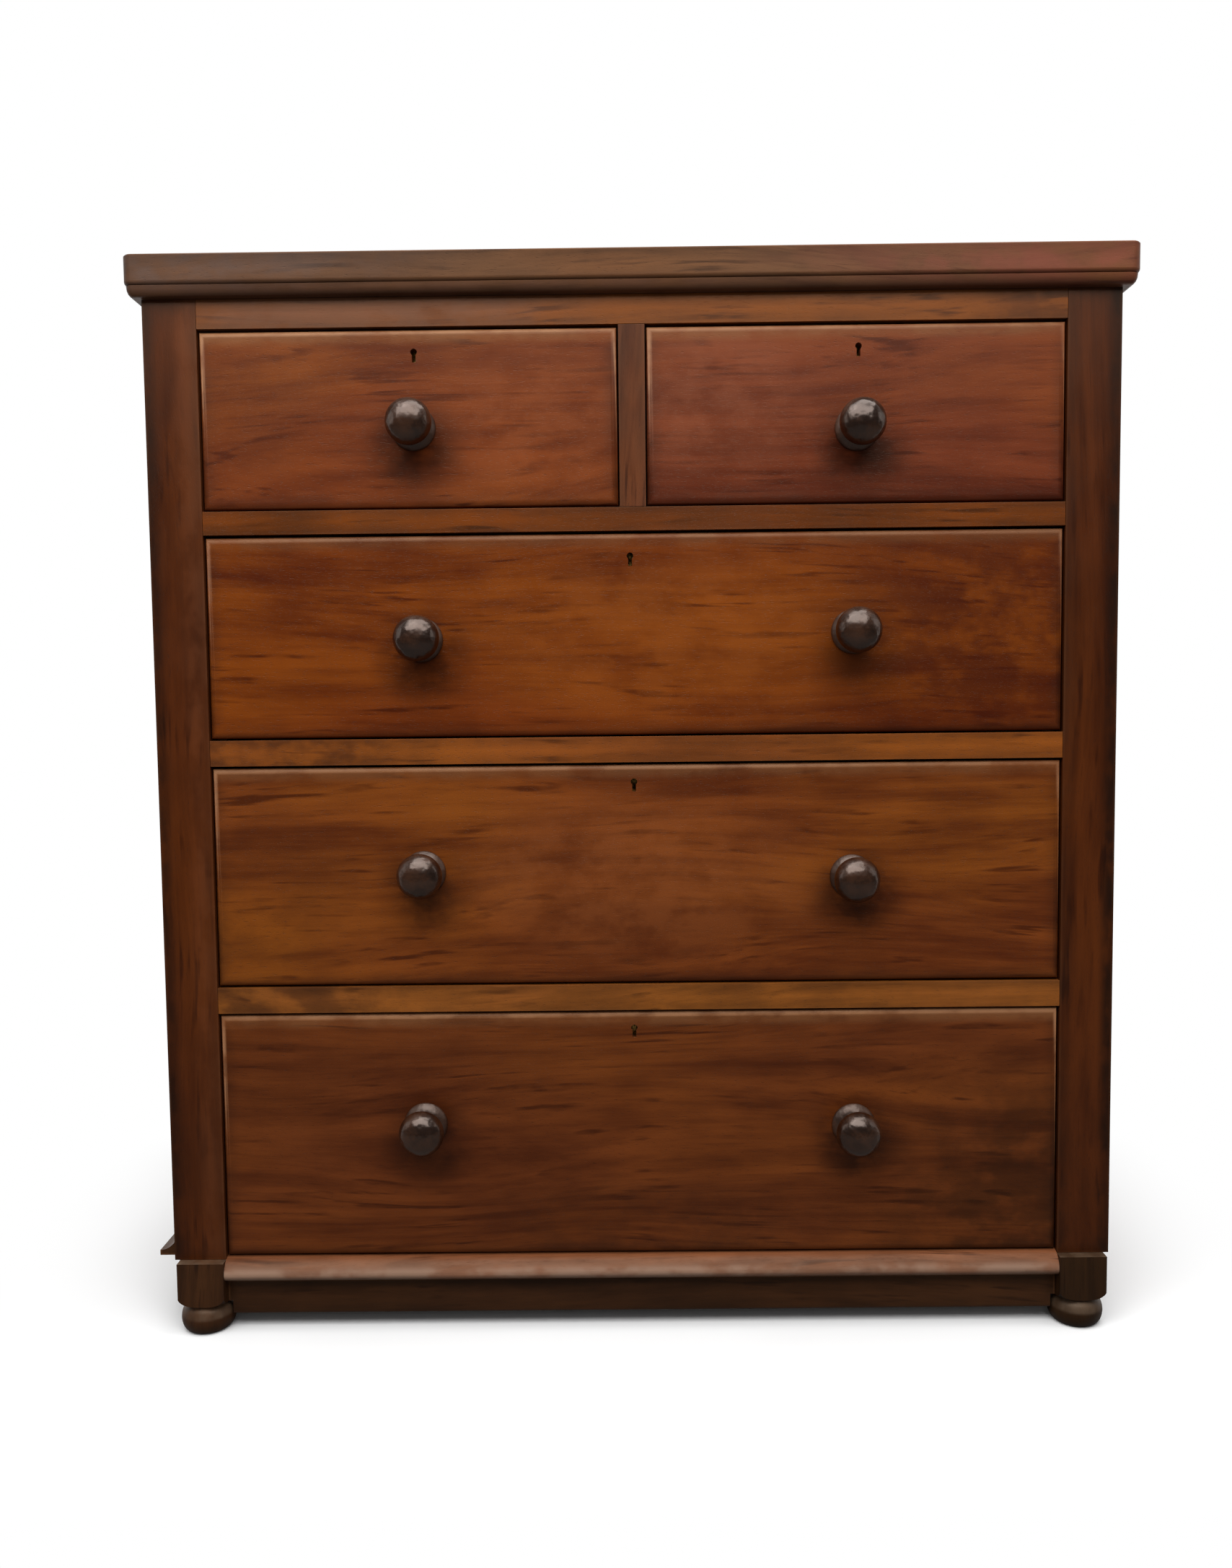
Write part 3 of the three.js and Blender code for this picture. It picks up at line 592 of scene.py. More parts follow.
# %% Soften and dress a board
ROUNDED_ANGLE = math.radians(40)
ROUND_STEPS = 2
LARGE_FACE_WEIGHT = 80


def soften(obj, width=0.0):
    """Rounds the edges of a board by a width, and shades its curved faces smooth."""
    joining = obj.modifiers.new("join", "NODES")
    joining.node_group = JOIN
    if width > 0:
        bevel = obj.modifiers.new("round", "BEVEL")
        bevel.width = width
        bevel.segments = ROUND_STEPS
        bevel.limit_method = "ANGLE"
        bevel.angle_limit = ROUNDED_ANGLE
    shading = obj.modifiers.new("shade", "NODES")
    shading.node_group = SHADE
    weighted = obj.modifiers.new("flat_faces", "WEIGHTED_NORMAL")
    weighted.keep_sharp = True
    weighted.weight = LARGE_FACE_WEIGHT


def dress(name, material, width=0.0):
    """Gives a solid its material and softens its edges."""
    obj = nodes[name]
    obj.data.materials.clear()
    obj.data.materials.append(material)
    soften(obj, width)


print(f"edges over {math.degrees(ROUNDED_ANGLE):.0f} degrees can be rounded")

# %% [markdown]
# ## Case
# The stiles stand upright, so their grain does too, and the rails run across. Every board
# was cut from a different place in the log, so each gets its own seed, and the tones differ
# a little from board to board. The stiles are darker than the rails and darker towards the
# floor, and their outer edges carry painted shade where the case turns to its unlit sides.

# %% Stiles, sides and divider
STILE_TONES = (tone(54, 21, 6), tone(88, 41, 14), tone(93, 44, 11))
SIDE_TONES = (tone(66, 27, 10), tone(112, 55, 22), tone(118, 61, 19))
DIVIDER_TONES = (tone(70, 33, 18), tone(108, 59, 37), tone(112, 62, 33))
UPRIGHTS = {
    "stile_left": STILE_TONES, "stile_right": STILE_TONES, "side_left": SIDE_TONES,
    "side_right": SIDE_TONES, "drawer_divider": DIVIDER_TONES,
}
UPRIGHT_SEED = 1.3
SIDE_POLISH, SIDE_SHINE = 0.38, 0.16
BOARD_WEAR = 0.08
FINE_ARRIS = 0.4 * MM
FLOOR_DARK = ((0.2, 0.6, 0.24), tone(36, 18, 9), 0.25)
FLOOR_DARK_HEIGHT = 0.09
# Of each darker or paler edge: its side, its radii, its tone and its strength
# The dark outer edges are painted shade; the left stile is paler towards its inner edge
STILE_EDGES = {
    "stile_left": [("left", (0.016, 0.014, 4), tone(30, 10, 4), 0.6),
                   ("right", (0.036, 0.04, 4), tone(118, 64, 34), 0.45)],
    "stile_right": [("right", (0.019, 0.014, 4), tone(24, 8, 4), 0.8)],
}


def middle(name):
    low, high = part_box(name)
    return (low + high) / 2


def upright_spots(name):
    low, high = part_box(name)
    spots = [((middle(name).x, front_plane, FLOOR_DARK_HEIGHT), *FLOOR_DARK)]
    for side, *look in STILE_EDGES.get(name, []):
        edge = low.x if side == "left" else high.x
        spots.append(((edge, low.y, middle(name).z), *look))
    return spots


for number, (name, tones) in enumerate(UPRIGHTS.items()):
    seed = UPRIGHT_SEED + number
    if name.startswith("side"):
        wood = mahogany(name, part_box(name), "z", seed, tones, polish=SIDE_POLISH,
                        shine=SIDE_SHINE, wear=BOARD_WEAR)
        dress(name, wood)
    else:
        wood = mahogany(name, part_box(name), "z", seed, tones, wear=BOARD_WEAR,
                        spots=upright_spots(name))
        dress(name, wood, FINE_ARRIS)
print(f"uprights dressed: {len(UPRIGHTS)}")

# %% Rails
RAIL_TONES = {
    "top_rail": (tone(90, 46, 16), tone(132, 72, 28), tone(138, 74, 22)),
    "rail_1": (tone(78, 38, 10), tone(122, 59, 17), tone(128, 64, 14)),
    "rail_2": (tone(95, 49, 19), tone(150, 80, 32), tone(156, 85, 27)),
    "rail_3": (tone(118, 67, 26), tone(174, 101, 43), tone(178, 105, 35)),
}
# Where a rail is darker or paler: the place along it, the reach, the tone and its strength
RAIL_SHADES = {
    "top_rail": [(0.49, 0.12, tone(62, 32, 20), 0.5), (-0.3, 0.3, tone(140, 100, 80), 0.4)],
    "rail_2": [(-0.42, 0.24, tone(62, 32, 20), 0.65)],
    "rail_3": [(-0.44, 0.24, tone(62, 32, 20), 0.6)],
}
RAIL_SEED = 7.7
FACE_SPOT_DEPTH = 0.1


def face_spot(x, z, reach_x, reach_z, tint, strength):
    """A tinted place on the front of the chest."""
    return (x, front_plane, z), (reach_x, FACE_SPOT_DEPTH, reach_z), tint, strength


for number, (name, tones) in enumerate(RAIL_TONES.items()):
    shades = [face_spot(x, middle(name).z, reach, FACE_SPOT_DEPTH, tint, strength)
              for x, reach, tint, strength in RAIL_SHADES.get(name, [])]
    wood = mahogany(name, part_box(name), "x", RAIL_SEED + number, tones, wear=BOARD_WEAR,
                    spots=shades)
    dress(name, wood, FINE_ARRIS)
print(f"rails dressed: {len(RAIL_TONES)}")

# %% Top and bottom board
TOP_TONES = (tone(70, 46, 31), tone(110, 75, 49), tone(114, 72, 42))
SILL_TONES = (tone(92, 50, 28), tone(148, 92, 60), tone(148, 86, 50))
TOP_SEED, TOP_POLISH, TOP_SHINE = 12.4, 0.36, 0.14
SILL_SEED = 15.1
NOSE_HEIGHT = 71 * MM

# The moulding under the top is a little paler. The left end of the top edge is painted grey
# as a painted reflection, and the right end is redder
top_low, top_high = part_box("top_board")
top_spots = [
    ((-0.1, top_low.y, top_low.z), (0.8, 0.05, 0.02), tone(122, 84, 66), 0.4),
    ((top_low.x, top_low.y, top_high.z), (0.45, 0.03, 0.06), tone(90, 76, 72), 0.6),
    ((top_high.x, top_low.y, top_high.z), (0.5, 0.03, 0.08), tone(132, 70, 56), 0.65),
]
wood = mahogany("top_board", (top_low, top_high), "x", TOP_SEED, TOP_TONES,
                polish=TOP_POLISH, shine=TOP_SHINE, spots=top_spots)
dress("top_board", wood)

# The nose of the bottom board is painted pale along its bulge, as wear and as painted highlight
nose = (0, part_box("bottom_board")[0].y, NOSE_HEIGHT)
nose_highlight_and_wear = (nose, (4, 0.02, 0.014), tone(179, 145, 123), 0.8)
wood = mahogany("bottom_board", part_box("bottom_board"), "x", SILL_SEED, SILL_TONES,
                spots=[nose_highlight_and_wear])
dress("bottom_board", wood)
print(f"top board at {top_high.z:.3f} m, nose at {NOSE_HEIGHT:.3f} m")

# %% [markdown]
# ## Drawer fronts
# The fronts are the show wood: brighter and redder than the case, with long streaks across.
# Round the knobs they are darker, as grime and as painted shadow of the knobs, and their
# upper edges carry a painted highlight. No two fronts are alike, so each has its own tones,
# slope of grain and darker or paler places, one of them painted shade at the lower right.

# %% How each front has aged
DRAWERS = ["short_drawer_left", "short_drawer_right", "upper_drawer", "middle_drawer",
           "lower_drawer"]
FRONT_TONES = {
    "short_drawer_left": (tone(82, 31, 12), tone(126, 60, 25), tone(132, 69, 22)),
    "short_drawer_right": (tone(80, 30, 14), tone(120, 56, 30), tone(124, 60, 24)),
    "upper_drawer": (tone(78, 26, 5), tone(122, 55, 14), tone(134, 66, 12)),
    "middle_drawer": (tone(80, 33, 11), tone(129, 65, 24), tone(139, 75, 20)),
    "lower_drawer": (tone(73, 31, 11), tone(117, 59, 25), tone(121, 62, 21)),
}
FRONT_SLOPES = {
    "short_drawer_left": 0.05, "short_drawer_right": -0.03, "upper_drawer": -0.025,
    "middle_drawer": 0.01, "lower_drawer": 0.02,
}
# How strongly the upper edge of each front is painted with highlight
TOP_EDGE_HIGHLIGHT = {
    "short_drawer_left": 0.6, "short_drawer_right": 0.5, "upper_drawer": 0.25,
    "middle_drawer": 0.4, "lower_drawer": 0.55,
}
# Where a front is darker or paler than its timber: place, reach, tone and strength
FRONT_SHADES = {
    "short_drawer_left": [face_spot(-0.46, 1.07, 0.16, 0.12, tone(70, 26, 12), 0.3),
                          face_spot(-0.1, 1.07, 0.16, 0.12, tone(150, 78, 38), 0.35)],
    "short_drawer_right": [face_spot(0.09, 1.09, 0.16, 0.12, tone(142, 78, 50), 0.35)],
    "upper_drawer": [face_spot(0.42, 0.82, 0.3, 0.2, tone(66, 20, 6), 0.75),
                     face_spot(0.06, 0.82, 0.32, 0.14, tone(152, 80, 24), 0.35)],
    "middle_drawer": [face_spot(0, 0.54, 0.28, 0.13, tone(146, 80, 38), 0.45),
                      face_spot(-0.46, 0.52, 0.2, 0.16, tone(60, 26, 10), 0.3)],
    # The dark place at the right end of the lower drawer is painted shade
    "lower_drawer": [face_spot(0.48, 0.14, 0.26, 0.24, tone(40, 20, 8), 0.6),
                     face_spot(0.02, 0.12, 0.3, 0.08, tone(50, 24, 14), 0.4)],
}
print(f"shaded places on the fronts: {sum(len(s) for s in FRONT_SHADES.values())}")

# %% Fronts
FRONT_SEED, FRONT_SEED_STEP = 21.5, 2.9
FRONT_WEAR = 0.1
# Darker round each knob, shifted down and to the right: grime and the painted shadow of the knob
KNOB_SHADOW_AND_GRIME_RADII, KNOB_SHADOW_AND_GRIME_TONE, KNOB_SHADOW_AND_GRIME_STRENGTH = (0.072, 0.05, 0.068), tone(38, 12, 5), 0.8
KNOB_SHADOW_AND_GRIME_SHIFT = Vector((0.004, 0, -0.018))
# A pale line painted along the upper edge of each front as highlight
TOP_EDGE_HIGHLIGHT_RADII, TOP_EDGE_HIGHLIGHT_TONE = (4, 0.04, 0.02), tone(158, 104, 64)


def knob_names(drawer):
    return [n for n in sorted(nodes) if n.startswith(drawer + "_knob")]


def front_spots(drawer, low, high):
    """Grime and painted shadow round the knobs, the darker or paler places, and the painted
    highlight along the upper edge.
    """
    spots = []
    for knob in knob_names(drawer):
        shadow_and_grime_centre = middle(knob) + KNOB_SHADOW_AND_GRIME_SHIFT
        spots.append(((shadow_and_grime_centre.x, low.y, shadow_and_grime_centre.z), KNOB_SHADOW_AND_GRIME_RADII, KNOB_SHADOW_AND_GRIME_TONE, KNOB_SHADOW_AND_GRIME_STRENGTH))
    spots += FRONT_SHADES[drawer]
    spots.append(((0, low.y, high.z), TOP_EDGE_HIGHLIGHT_RADII, TOP_EDGE_HIGHLIGHT_TONE, TOP_EDGE_HIGHLIGHT[drawer]))
    return spots


for number, drawer in enumerate(DRAWERS):
    name = drawer + "_front"
    wood = mahogany(name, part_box(name), "x", FRONT_SEED + FRONT_SEED_STEP * number,
                    FRONT_TONES[drawer], wear=FRONT_WEAR, top_highlight_and_dust=TOP_EDGE_HIGHLIGHT[drawer],
                    slope=FRONT_SLOPES[drawer], spots=front_spots(drawer, *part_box(name)))
    dress(name, wood)
print(f"fronts dressed: {len(DRAWERS)}")

# %% [markdown]
# ## Base
# The blocks, feet and plinth are stained nearly black, as on many chests, so that scuffs and
# dust from the floor show less. What faces up on the feet is painted paler, as dust and as
# painted highlight.

# %% Base boards
BASE_TONES = (tone(46, 26, 14), tone(79, 47, 26), tone(81, 48, 23))
BASE_POLISH = 0.36
# The paler tone of what faces up on the feet, as dust and as painted highlight
HIGHLIGHT_AND_DUST_TONE = tone(120, 100, 82)
# Of each dark rail: the way of its grain and its seed
BASE_RAILS = {"plinth_rail": ("x", 33.1), "side_moulding_left": ("y", 35.2)}


def base_wood(name, box, along, seed, tones=BASE_TONES, top_highlight_and_dust=0.0):
    return mahogany(name, box, along, seed, tones, polish=BASE_POLISH, top_highlight_and_dust=top_highlight_and_dust,
                    upward_tone=HIGHLIGHT_AND_DUST_TONE)


for name, (along, seed) in BASE_RAILS.items():
    dress(name, base_wood(name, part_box(name), along, seed))

# %% [markdown]
# ## Bare softwood inside
# Drawer sides, bottoms, the dust boards and the back are pine, left bare and gone brown. A
# pine tree gives no board as wide as a chest, so the back is glued up from six: each has its
# own grain and its own tone, and a thin dark line where it meets the next.

# %% Pine
PINE_DRIFT, PINE_SWAY = (0.9, 3, 1, 0.5), 0.09
PINE_RINGS = (0.7, 48, 2, 0.5)
PINE_FIBRES = (9, 520, 3, 0.6)
PINE_PATCHES = (2.4, 4, 3, 0.6)
PINE_FIBRE_SHARE, PINE_FIGURE_RANGE = 0.5, (0.52, 0.98)
PINE_DARK, PINE_PALE = tone(134, 96, 58), tone(184, 146, 100)
PINE_BROWN, PINE_BROWN_RANGE, PINE_BROWN_MOST = tone(122, 84, 52), (0.4, 0.7), 0.45
PINE_ROUGHNESS, PINE_FIBRES_ROUGHEN, PINE_SHINE = 0.62, 0.2, 0.25
PINE_RELIEF = 0.2 * MM


def pine(name, along, seed, glued=False):
    material, tree, surface = new_material(name)
    axes = axes_of(tree, object_place(tree))
    timber = along_grain(tree, axes, along, seed)
    if glued:
        low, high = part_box(name)
        timber, own, joint = glued_boards(tree, timber, axes[0], low.x, high.x)
    sway = math_of(tree, "MULTIPLY", grain(tree, timber, *PINE_DRIFT), PINE_SWAY)
    wavy = vector_of(tree, "ADD", timber, vector_from(tree, 0, sway))
    rings = grain(tree, wavy, *PINE_RINGS)
    fibres = grain(tree, wavy, *PINE_FIBRES)
    mixed = weighted_sum(tree, rings, (fibres, PINE_FIBRE_SHARE))
    colour = colour_mix(tree, ranged(tree, mixed, *PINE_FIGURE_RANGE), PINE_DARK, PINE_PALE)
    patches = grain(tree, timber, *PINE_PATCHES)
    brown = ranged(tree, patches, *PINE_BROWN_RANGE, 0, PINE_BROWN_MOST)
    colour = colour_mix(tree, brown, colour, PINE_BROWN)
    if glued:
        own = math_of(tree, "MULTIPLY", own, BOARD_TINT_MOST)
        joint = math_of(tree, "MULTIPLY", joint, JOINT_MOST)
        colour = colour_mix(tree, joint, colour_mix(tree, own, colour, BOARD_TINT), JOINT_TINT)
    tree.links.new(colour, surface.inputs["Base Color"])
    roughness = weighted_sum(tree, PINE_ROUGHNESS, (fibres, PINE_FIBRES_ROUGHEN))
    tree.links.new(roughness, surface.inputs["Roughness"])
    surface.inputs["Specular IOR Level"].default_value = PINE_SHINE
    bumped(tree, surface, math_of(tree, "ADD", fibres, rings), PINE_RELIEF)
    return material


print(f"pine recipe ready, relief {PINE_RELIEF / MM:.1f} mm")

# %% The boards of the back
BACK_BOARDS = 6
BOARD_SHIFT = (1.3, 0.37, 0.71)
# A step that never comes back to the same tone within a few boards
BOARD_TINT_STEP, BOARD_TINT, BOARD_TINT_MOST = 0.618, tone(120, 80, 46), 0.35
# A joint's half width as a share of a board's width, where it is dark and where it ends
JOINT_RANGE, JOINT_TINT, JOINT_MOST = (0.003, 0.012), tone(44, 28, 16), 0.8


def glued_boards(tree, timber, across, low, high):
    """Shifts the grain from board to board across the width, and returns the new place, a
    number from 0 to 1 for each board, and how near the joint is."""
    boards = ranged(tree, across, low, high, 0, BACK_BOARDS, curve="LINEAR")
    number = math_of(tree, "FLOOR", boards)
    shift = [math_of(tree, "MULTIPLY", number, share) for share in BOARD_SHIFT]
    own = math_of(tree, "FRACT", math_of(tree, "MULTIPLY", number, BOARD_TINT_STEP))
    joint = ranged(tree, math_of(tree, "PINGPONG", boards, 0.5), *JOINT_RANGE, 1, 0)
    return vector_of(tree, "ADD", timber, vector_from(tree, *shift)), own, joint


print(f"the back is glued up from {BACK_BOARDS} boards")

# %% Pine boards
PINE_SEED, PINE_SEED_STEP = 50, 1.7
PINE_GRAIN = {"_side_left": "y", "_side_right": "y", "_back": "x", "_bottom": "x"}
pine_boards = {drawer + ending: along for drawer in DRAWERS
               for ending, along in PINE_GRAIN.items()}
pine_boards.update(back_panel="z", centre_guide="y", dust_board_1="x", dust_board_2="x",
                   dust_board_3="x")
for number, (name, along) in enumerate(pine_boards.items()):
    seed = PINE_SEED + PINE_SEED_STEP * number
    dress(name, pine(name, along, seed, glued=name == "back_panel"))
print(f"pine boards dressed: {len(pine_boards)}")

# %% [markdown]
# ## Locks
# The locks are plain brass boxes, cast or folded from sheet, and dulled by age. They are let
# into the backs of the fronts, and only the pin shows through the keyhole.

# %% Brass
# Waves in a metre along each axis, then detail and roughness
BRASS_STAINS = ((160, 160, 160), 4, 0.6)
BRASS_SCRATCHES = ((60, 60, 1900), 2, 0.5)
BRASS_BRIGHT, BRASS_DARK, TARNISH_RANGE = tone(186, 150, 84), tone(96, 72, 42), (0.4, 0.66)
BRASS_ROUGHNESS, TARNISH_ROUGHENS = 0.3, 0.3
BRASS_RELIEF, STAIN_RELIEF = 0.04 * MM, 0.5


def old_brass(name):
    material, tree, surface = new_material(name)
    place = object_place(tree)
    stains, scratches = (noise(tree, vector_of(tree, "MULTIPLY", place, waves), *rest)
                         for waves, *rest in (BRASS_STAINS, BRASS_SCRATCHES))
    tarnish = ranged(tree, stains, *TARNISH_RANGE)
    colour = colour_mix(tree, tarnish, BRASS_BRIGHT, BRASS_DARK)
    tree.links.new(colour, surface.inputs["Base Color"])
    surface.inputs["Metallic"].default_value = 1
    roughness = weighted_sum(tree, BRASS_ROUGHNESS, (tarnish, TARNISH_ROUGHENS))
    tree.links.new(roughness, surface.inputs["Roughness"])
    bumped(tree, surface, weighted_sum(tree, scratches, (stains, STAIN_RELIEF)), BRASS_RELIEF)
    return material


brass = old_brass("old_brass")
for drawer in DRAWERS:
    dress(drawer + "_lock", brass)
print(f"locks dressed: {len(DRAWERS)}")

# %% [markdown]
# ## Knobs
# A knob is turned in one piece from dark wood. It has a round flange with a rounded face
# against the drawer, a narrow waist and a head like a squashed ball. The real tool path is
# one outline turned about an axis, so the same is done here, with fine steps.

# %% Turned pieces
ON_AXIS = 0.001


def arc(centre, radii, start, end, steps):
    """Points of an ellipse between two angles in degrees, as pairs of radius and place."""
    angles = [math.radians(start + (end - start) * i / steps) for i in range(steps + 1)]
    return [(centre[0] + radii[0] * math.cos(a), centre[1] + radii[1] * math.sin(a))
            for a in angles]


def ring(mesh, radius, height, sides):
    """The corners of one ring of a turned piece, or a single one on its axis."""
    if radius < ON_AXIS:
        return [mesh.verts.new((0, 0, height * MM))]
    turns = [2 * math.pi * i / sides for i in range(sides)]
    return [mesh.verts.new((radius * MM * math.cos(t), radius * MM * math.sin(t), height * MM))
            for t in turns]


def object_of(mesh, name):
    data = bpy.data.meshes.new(name)
    mesh.to_mesh(data)
    mesh.free()
    return in_scene(name, data)


def turn(name, outline, sides, place, lying=False):
    """Turns an outline of radius and height, in millimetres, and stands it on its place, or
    lays its axis along -Y."""
    mesh = bmesh.new()
    rings = [ring(mesh, radius, height, sides) for radius, height in outline]
    for lower, upper in zip(rings, rings[1:]):
        for i in range(sides):
            j = (i + 1) % sides
            corners = [lower[i % len(lower)], lower[j % len(lower)],
                       upper[j % len(upper)], upper[i % len(upper)]]
            mesh.faces.new([c for k, c in enumerate(corners) if c not in corners[:k]])
    if lying:
        bmesh.ops.rotate(mesh, verts=mesh.verts, matrix=Matrix.Rotation(math.pi / 2, 3, "X"))
    bmesh.ops.translate(mesh, verts=mesh.verts, vec=place)
    bmesh.ops.recalc_face_normals(mesh, faces=mesh.faces)
    return object_of(mesh, name)


print(f"lathe ready, a radius under {ON_AXIS} mm closes a piece")

# %% The knob's outline, in millimetres
KNOB_SIDES = 72
KNOB_HEAD_RADIUS, KNOB_HEAD_HALF_DEPTH, KNOB_HEAD_DISTANCE = 26, 19, 34
KNOB_HEAD_ANGLES, KNOB_HEAD_STEPS = (-64, 90), 34
KNOB_WAIST_RADIUS, KNOB_WAIST_DISTANCE = 11.5, 13
# What the neck is wider by before and after its waist, and how far off
KNOB_NECK_BEFORE, KNOB_NECK_AFTER = (1.5, -1.2), (1, 2)
KNOB_FLANGE_RADIUS, KNOB_FLANGE_EDGE, KNOB_FLANGE_CURVE = 25.5, 1.5, 18
KNOB_FLANGE_ANGLES, KNOB_FLANGE_STEPS = (32, 70), 10
KNOB_SHANK_RADIUS, KNOB_SHANK_LENGTH, KNOB_GAP = 7, 21.7, 0.3


def knob_outline():
    start = math.radians(KNOB_FLANGE_ANGLES[0])
    flange_centre = (KNOB_FLANGE_RADIUS - KNOB_FLANGE_CURVE * math.cos(start),
                     KNOB_FLANGE_EDGE - KNOB_FLANGE_CURVE * math.sin(start))
    flange = arc(flange_centre, (KNOB_FLANGE_CURVE, KNOB_FLANGE_CURVE), *KNOB_FLANGE_ANGLES,
                 KNOB_FLANGE_STEPS)
    neck = [(KNOB_WAIST_RADIUS + wider, KNOB_WAIST_DISTANCE + off)
            for wider, off in (KNOB_NECK_BEFORE, (0, 0), KNOB_NECK_AFTER)]
    head = arc((0, KNOB_HEAD_DISTANCE), (KNOB_HEAD_RADIUS, KNOB_HEAD_HALF_DEPTH),
               *KNOB_HEAD_ANGLES, KNOB_HEAD_STEPS)
    return [(0, -KNOB_SHANK_LENGTH), (KNOB_SHANK_RADIUS, -KNOB_SHANK_LENGTH),
            (KNOB_SHANK_RADIUS, KNOB_GAP), (KNOB_FLANGE_RADIUS, KNOB_GAP),
            *flange, *neck, *head[:-1], (0, head[-1][1])]


print(f"points on the knob's outline: {len(knob_outline())}")

# %% Knobs
KNOB_FIBRES, KNOB_PATCHES, KNOB_DENTS = (30, 420, 2, 0.5), (30, 40, 2, 0.5), (120, 120, 1, 0.4)
KNOB_DARK, KNOB_BROWN = tone(25, 12, 6), tone(56, 32, 18)
KNOB_FIBRE_SHARE, KNOB_FIGURE_RANGE = 0.4, (0.5, 0.95)
FLANGE_NEAR, FLANGE_FAR, FLANGE_TONE, FLANGE_MOST = 6 * MM, 12 * MM, tone(92, 56, 36), 0.12
KNOB_ROUGHNESS, PATCHES_ROUGHEN, FLANGE_ROUGHENS = 0.16, 0.16, 1.2
KNOB_SHINE, KNOB_POLISH = 0.9, (1, 0.8, 0.7, 1)
KNOB_RELIEF, KNOB_FIBRE_RELIEF = 0.9 * MM, 0.05
KNOB_SEED, KNOB_SEED_STEP = 80, 2.3


def dark_polish(name, seed, flange_y):
    """Wood stained nearly black and polished, a little browner and duller at the flange."""
    material, tree, surface = new_material(name)
    axes = axes_of(tree, object_place(tree))
    timber = along_grain(tree, axes, "y", seed)
    fibres = grain(tree, timber, *KNOB_FIBRES)
    patches = grain(tree, timber, *KNOB_PATCHES)
    mixed = weighted_sum(tree, patches, (fibres, KNOB_FIBRE_SHARE))
    colour = colour_mix(tree, ranged(tree, mixed, *KNOB_FIGURE_RANGE), KNOB_DARK, KNOB_BROWN)
    flange = ranged(tree, axes[1], flange_y - FLANGE_FAR, flange_y - FLANGE_NEAR, 0, FLANGE_MOST)
    colour = colour_mix(tree, flange, colour, FLANGE_TONE)
    tree.links.new(colour, surface.inputs["Base Color"])
    roughness = weighted_sum(tree, KNOB_ROUGHNESS, (patches, PATCHES_ROUGHEN),
                             (flange, FLANGE_ROUGHENS))
    tree.links.new(roughness, surface.inputs["Roughness"])
    surface.inputs["Specular IOR Level"].default_value = KNOB_SHINE
    surface.inputs["Specular Tint"].default_value = KNOB_POLISH
    dents = grain(tree, timber, *KNOB_DENTS)
    bumped(tree, surface, weighted_sum(tree, dents, (fibres, KNOB_FIBRE_RELIEF)), KNOB_RELIEF)
    return material


drawer_knobs = [(drawer, name) for drawer in DRAWERS for name in knob_names(drawer)]
for number, (drawer, name) in enumerate(drawer_knobs):
    front_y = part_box(drawer + "_front")[0].y
    place = (middle(name).x, front_y, middle(name).z)
    knob = turn(name + "_turned", knob_outline(), KNOB_SIDES, place, lying=True)
    wood = dark_polish(knob.name, KNOB_SEED + KNOB_SEED_STEP * number, front_y)
    knob.data.materials.append(wood)
    soften(knob)
    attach(knob, drawer)
    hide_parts(name)
print(f"knobs turned: {len(drawer_knobs)}")

# %% [markdown]
# ## Feet
# Each foot is one length of wood: a square block above, and a flat bun turned below it, with
# a neck between them. On the lathe the corners of the block are cut to a round shoulder. A
# turned body and a square one are intersected, as the tool does.

# %% The foot's outline, in millimetres
FOOT_SIDES = 96
FOOT_HEIGHT, FOOT_PAD_RADIUS, FOOT_BELLY_RADIUS, FOOT_NECK_RADIUS = 34, 22, 31.5, 24.5
FOOT_BELLY_HEIGHT, FOOT_BELLY_ANGLES, FOOT_BELLY_STEPS = 31, (-90, 62), 24
SHOULDER_RADIUS, SHOULDER_RISE, SHOULDER_REACH = 25.5, 14, 14
SHOULDER_ANGLES, SHOULDER_STEPS = (-90, 0), 14


def foot_outline(top):
    half_belly = FOOT_BELLY_HEIGHT / 2
    belly = arc((FOOT_PAD_RADIUS, half_belly), (FOOT_BELLY_RADIUS - FOOT_PAD_RADIUS, half_belly),
                *FOOT_BELLY_ANGLES, FOOT_BELLY_STEPS)
    shoulder = arc((SHOULDER_RADIUS, FOOT_HEIGHT + SHOULDER_RISE),
                   (SHOULDER_REACH, SHOULDER_RISE), *SHOULDER_ANGLES, SHOULDER_STEPS)
    return [(0, 0), *belly, (FOOT_NECK_RADIUS, FOOT_BELLY_HEIGHT),
            (FOOT_NECK_RADIUS, FOOT_HEIGHT), *shoulder,
            (SHOULDER_RADIUS + SHOULDER_REACH, top), (0, top)]


print(f"sides of a foot: {FOOT_SIDES}")

# %% The square that cuts a block
BLOCK_HALF = 27.5
CUTTER_OVERLAP = 0.5 * MM
CUTTER_BELOW = 2 * MM


def block_around(place, half, top):
    """A square post over a wide slab, as a cutter that leaves the bun round."""
    mesh = bmesh.new()
    foot_top = FOOT_HEIGHT * MM
    for reach, low, high in ((half, foot_top - CUTTER_OVERLAP, top),
                             (half * 2, -CUTTER_BELOW, foot_top)):
        box = bmesh.ops.create_cube(mesh, size=1)["verts"]
        bmesh.ops.scale(mesh, verts=box, vec=(2 * reach, 2 * reach, high - low))
        bmesh.ops.translate(mesh, verts=box, vec=(place.x, place.y, (low + high) / 2))
    return object_of(mesh, "cutter")


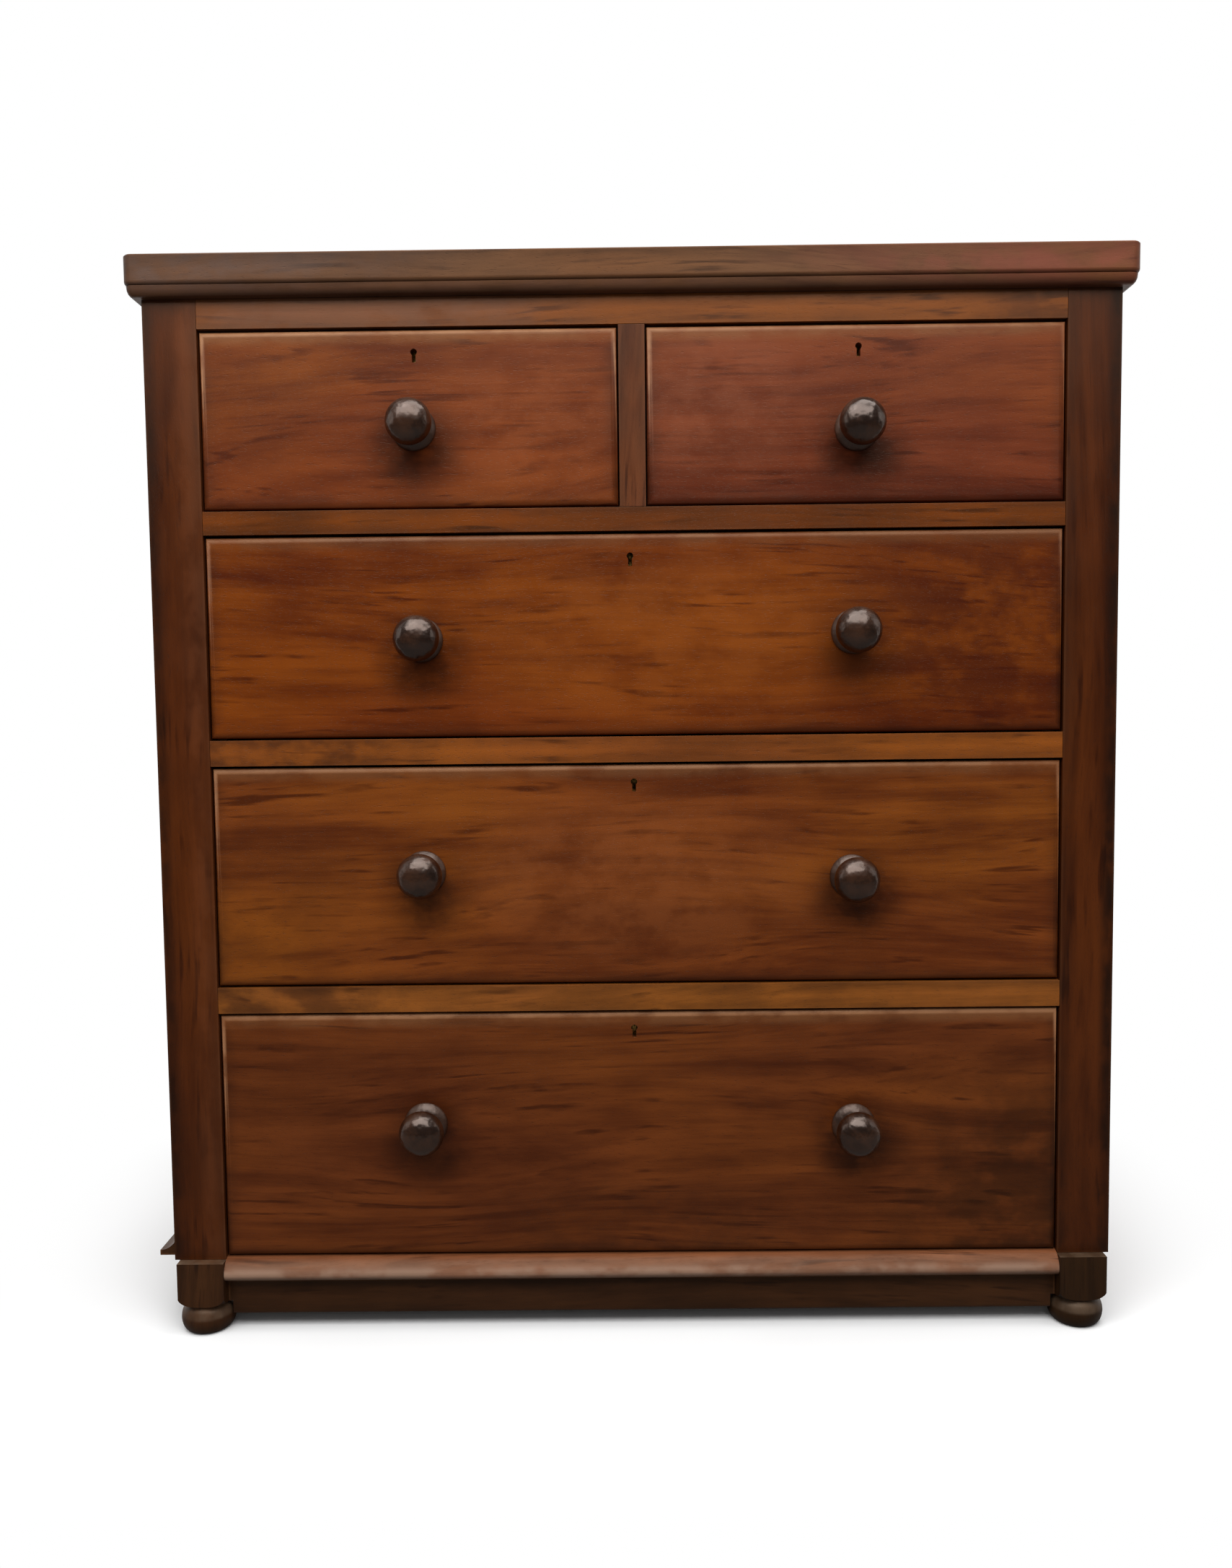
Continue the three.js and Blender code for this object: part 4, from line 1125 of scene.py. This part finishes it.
def cut_square(obj, cutter):
    cut = obj.modifiers.new("square", "BOOLEAN")
    cut.operation = "INTERSECT"
    cut.solver = "EXACT"
    cut.use_self = True
    cut.object = cutter
    bpy.context.view_layer.update()
    graph = bpy.context.evaluated_depsgraph_get()
    finished = bpy.data.meshes.new_from_object(obj.evaluated_get(graph))
    obj.modifiers.clear()
    obj.data = finished
    bpy.data.objects.remove(cutter)


print(f"blocks are {2 * BLOCK_HALF:.0f} mm square")

# %% Feet
# How high the block of each foot reaches, in millimetres
BLOCK_TOP, REAR_TOP = 87, 71.2
FOOT_TOPS = {"front_foot_left": BLOCK_TOP, "front_foot_right": BLOCK_TOP,
             "rear_foot_left": REAR_TOP, "rear_foot_right": REAR_TOP}
FOOT_SEED = 90.4
RIGHT_FOOT_TONES = (tone(33, 19, 9), tone(56, 34, 17), tone(58, 35, 16))
# How much what faces up on the feet is painted paler, as dust and as painted highlight
FOOT_HIGHLIGHT_AND_DUST = 0.7
BLOCK_ARRIS = 0.8 * MM

for number, (name, top) in enumerate(FOOT_TOPS.items()):
    place = middle(name) * Vector((1, 1, 0))
    piece = turn(name + "_turned", foot_outline(top), FOOT_SIDES, place)
    cut_square(piece, block_around(place, BLOCK_HALF * MM, top * MM))
    tones = RIGHT_FOOT_TONES if name.endswith("right") else BASE_TONES
    wood = base_wood(piece.name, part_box(name), "z", FOOT_SEED + number, tones,
                     top_highlight_and_dust=FOOT_HIGHLIGHT_AND_DUST)
    piece.data.materials.append(wood)
    soften(piece, BLOCK_ARRIS)
    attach(piece, "case")
    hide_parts(name)
print(f"feet turned: {len(FOOT_TOPS)}")

# %% [markdown]
# ## Floor
# The floor is pale and plain. Near the chest it takes the shadow. Far off it passes into the
# white behind the chest. Bounced light meets a darker floor than the camera sees, so that
# little light comes up at the fronts from below.

# %% Floor
FLOOR_HALF = 14.0
FLOOR_GREY = 0.15
FLOOR_PALE = 0.95
FLOOR_ROUGHNESS = 0.9
FLOOR_FADE = (0.0, 0.3)
FLOOR_BACK = (-0.3, 0.1)


def pale_floor():
    material, tree, surface = new_material("pale_floor")
    surface.inputs["Roughness"].default_value = FLOOR_ROUGHNESS
    surface.inputs["Specular IOR Level"].default_value = 0
    axes = axes_of(tree, object_place(tree))
    away = [math_of(tree, "SUBTRACT", math_of(tree, "ABSOLUTE", axis), reach)
            for axis, reach in zip(axes[:2], solid_box[1][:2])]
    outside = vector_from(tree, *(math_of(tree, "MAXIMUM", gap, 0) for gap in away))
    far = ranged(tree, vector_of(tree, "LENGTH", outside), *FLOOR_FADE)
    white = shown_white(tree, shine_rays(tree), ranged(tree, axes[1], *FLOOR_BACK))
    grey, pale = ((level, level, level, 1) for level in (FLOOR_GREY, FLOOR_PALE))
    tree.links.new(colour_mix(tree, white, grey, pale), surface.inputs["Base Color"])
    glow = tree.nodes.new("ShaderNodeEmission")
    mix = filled(tree, "ShaderNodeMixShader",
                 (math_of(tree, "MULTIPLY", far, white), surface.outputs[0], glow.outputs[0]))
    output = next(n for n in tree.nodes if n.type == "OUTPUT_MATERIAL")
    tree.links.new(mix.outputs[0], output.inputs["Surface"])
    return material


floor_mesh = bpy.data.meshes.new("floor")
corners = [(x * FLOOR_HALF, y * FLOOR_HALF, 0) for x, y in ((-1, -1), (1, -1), (1, 1), (-1, 1))]
floor_mesh.from_pydata(corners, [], [(0, 1, 2, 3)])
floor = in_scene("floor", floor_mesh)
floor.data.materials.append(pale_floor())
print(f"floor: {2 * FLOOR_HALF:.0f} m wide")

# %% [markdown]
# ## Last look at the size
# This prints the box that the solids fill.

# %% The box of the solids
print("solids", [[round(c, 4) for c in p] for p in solid_box])
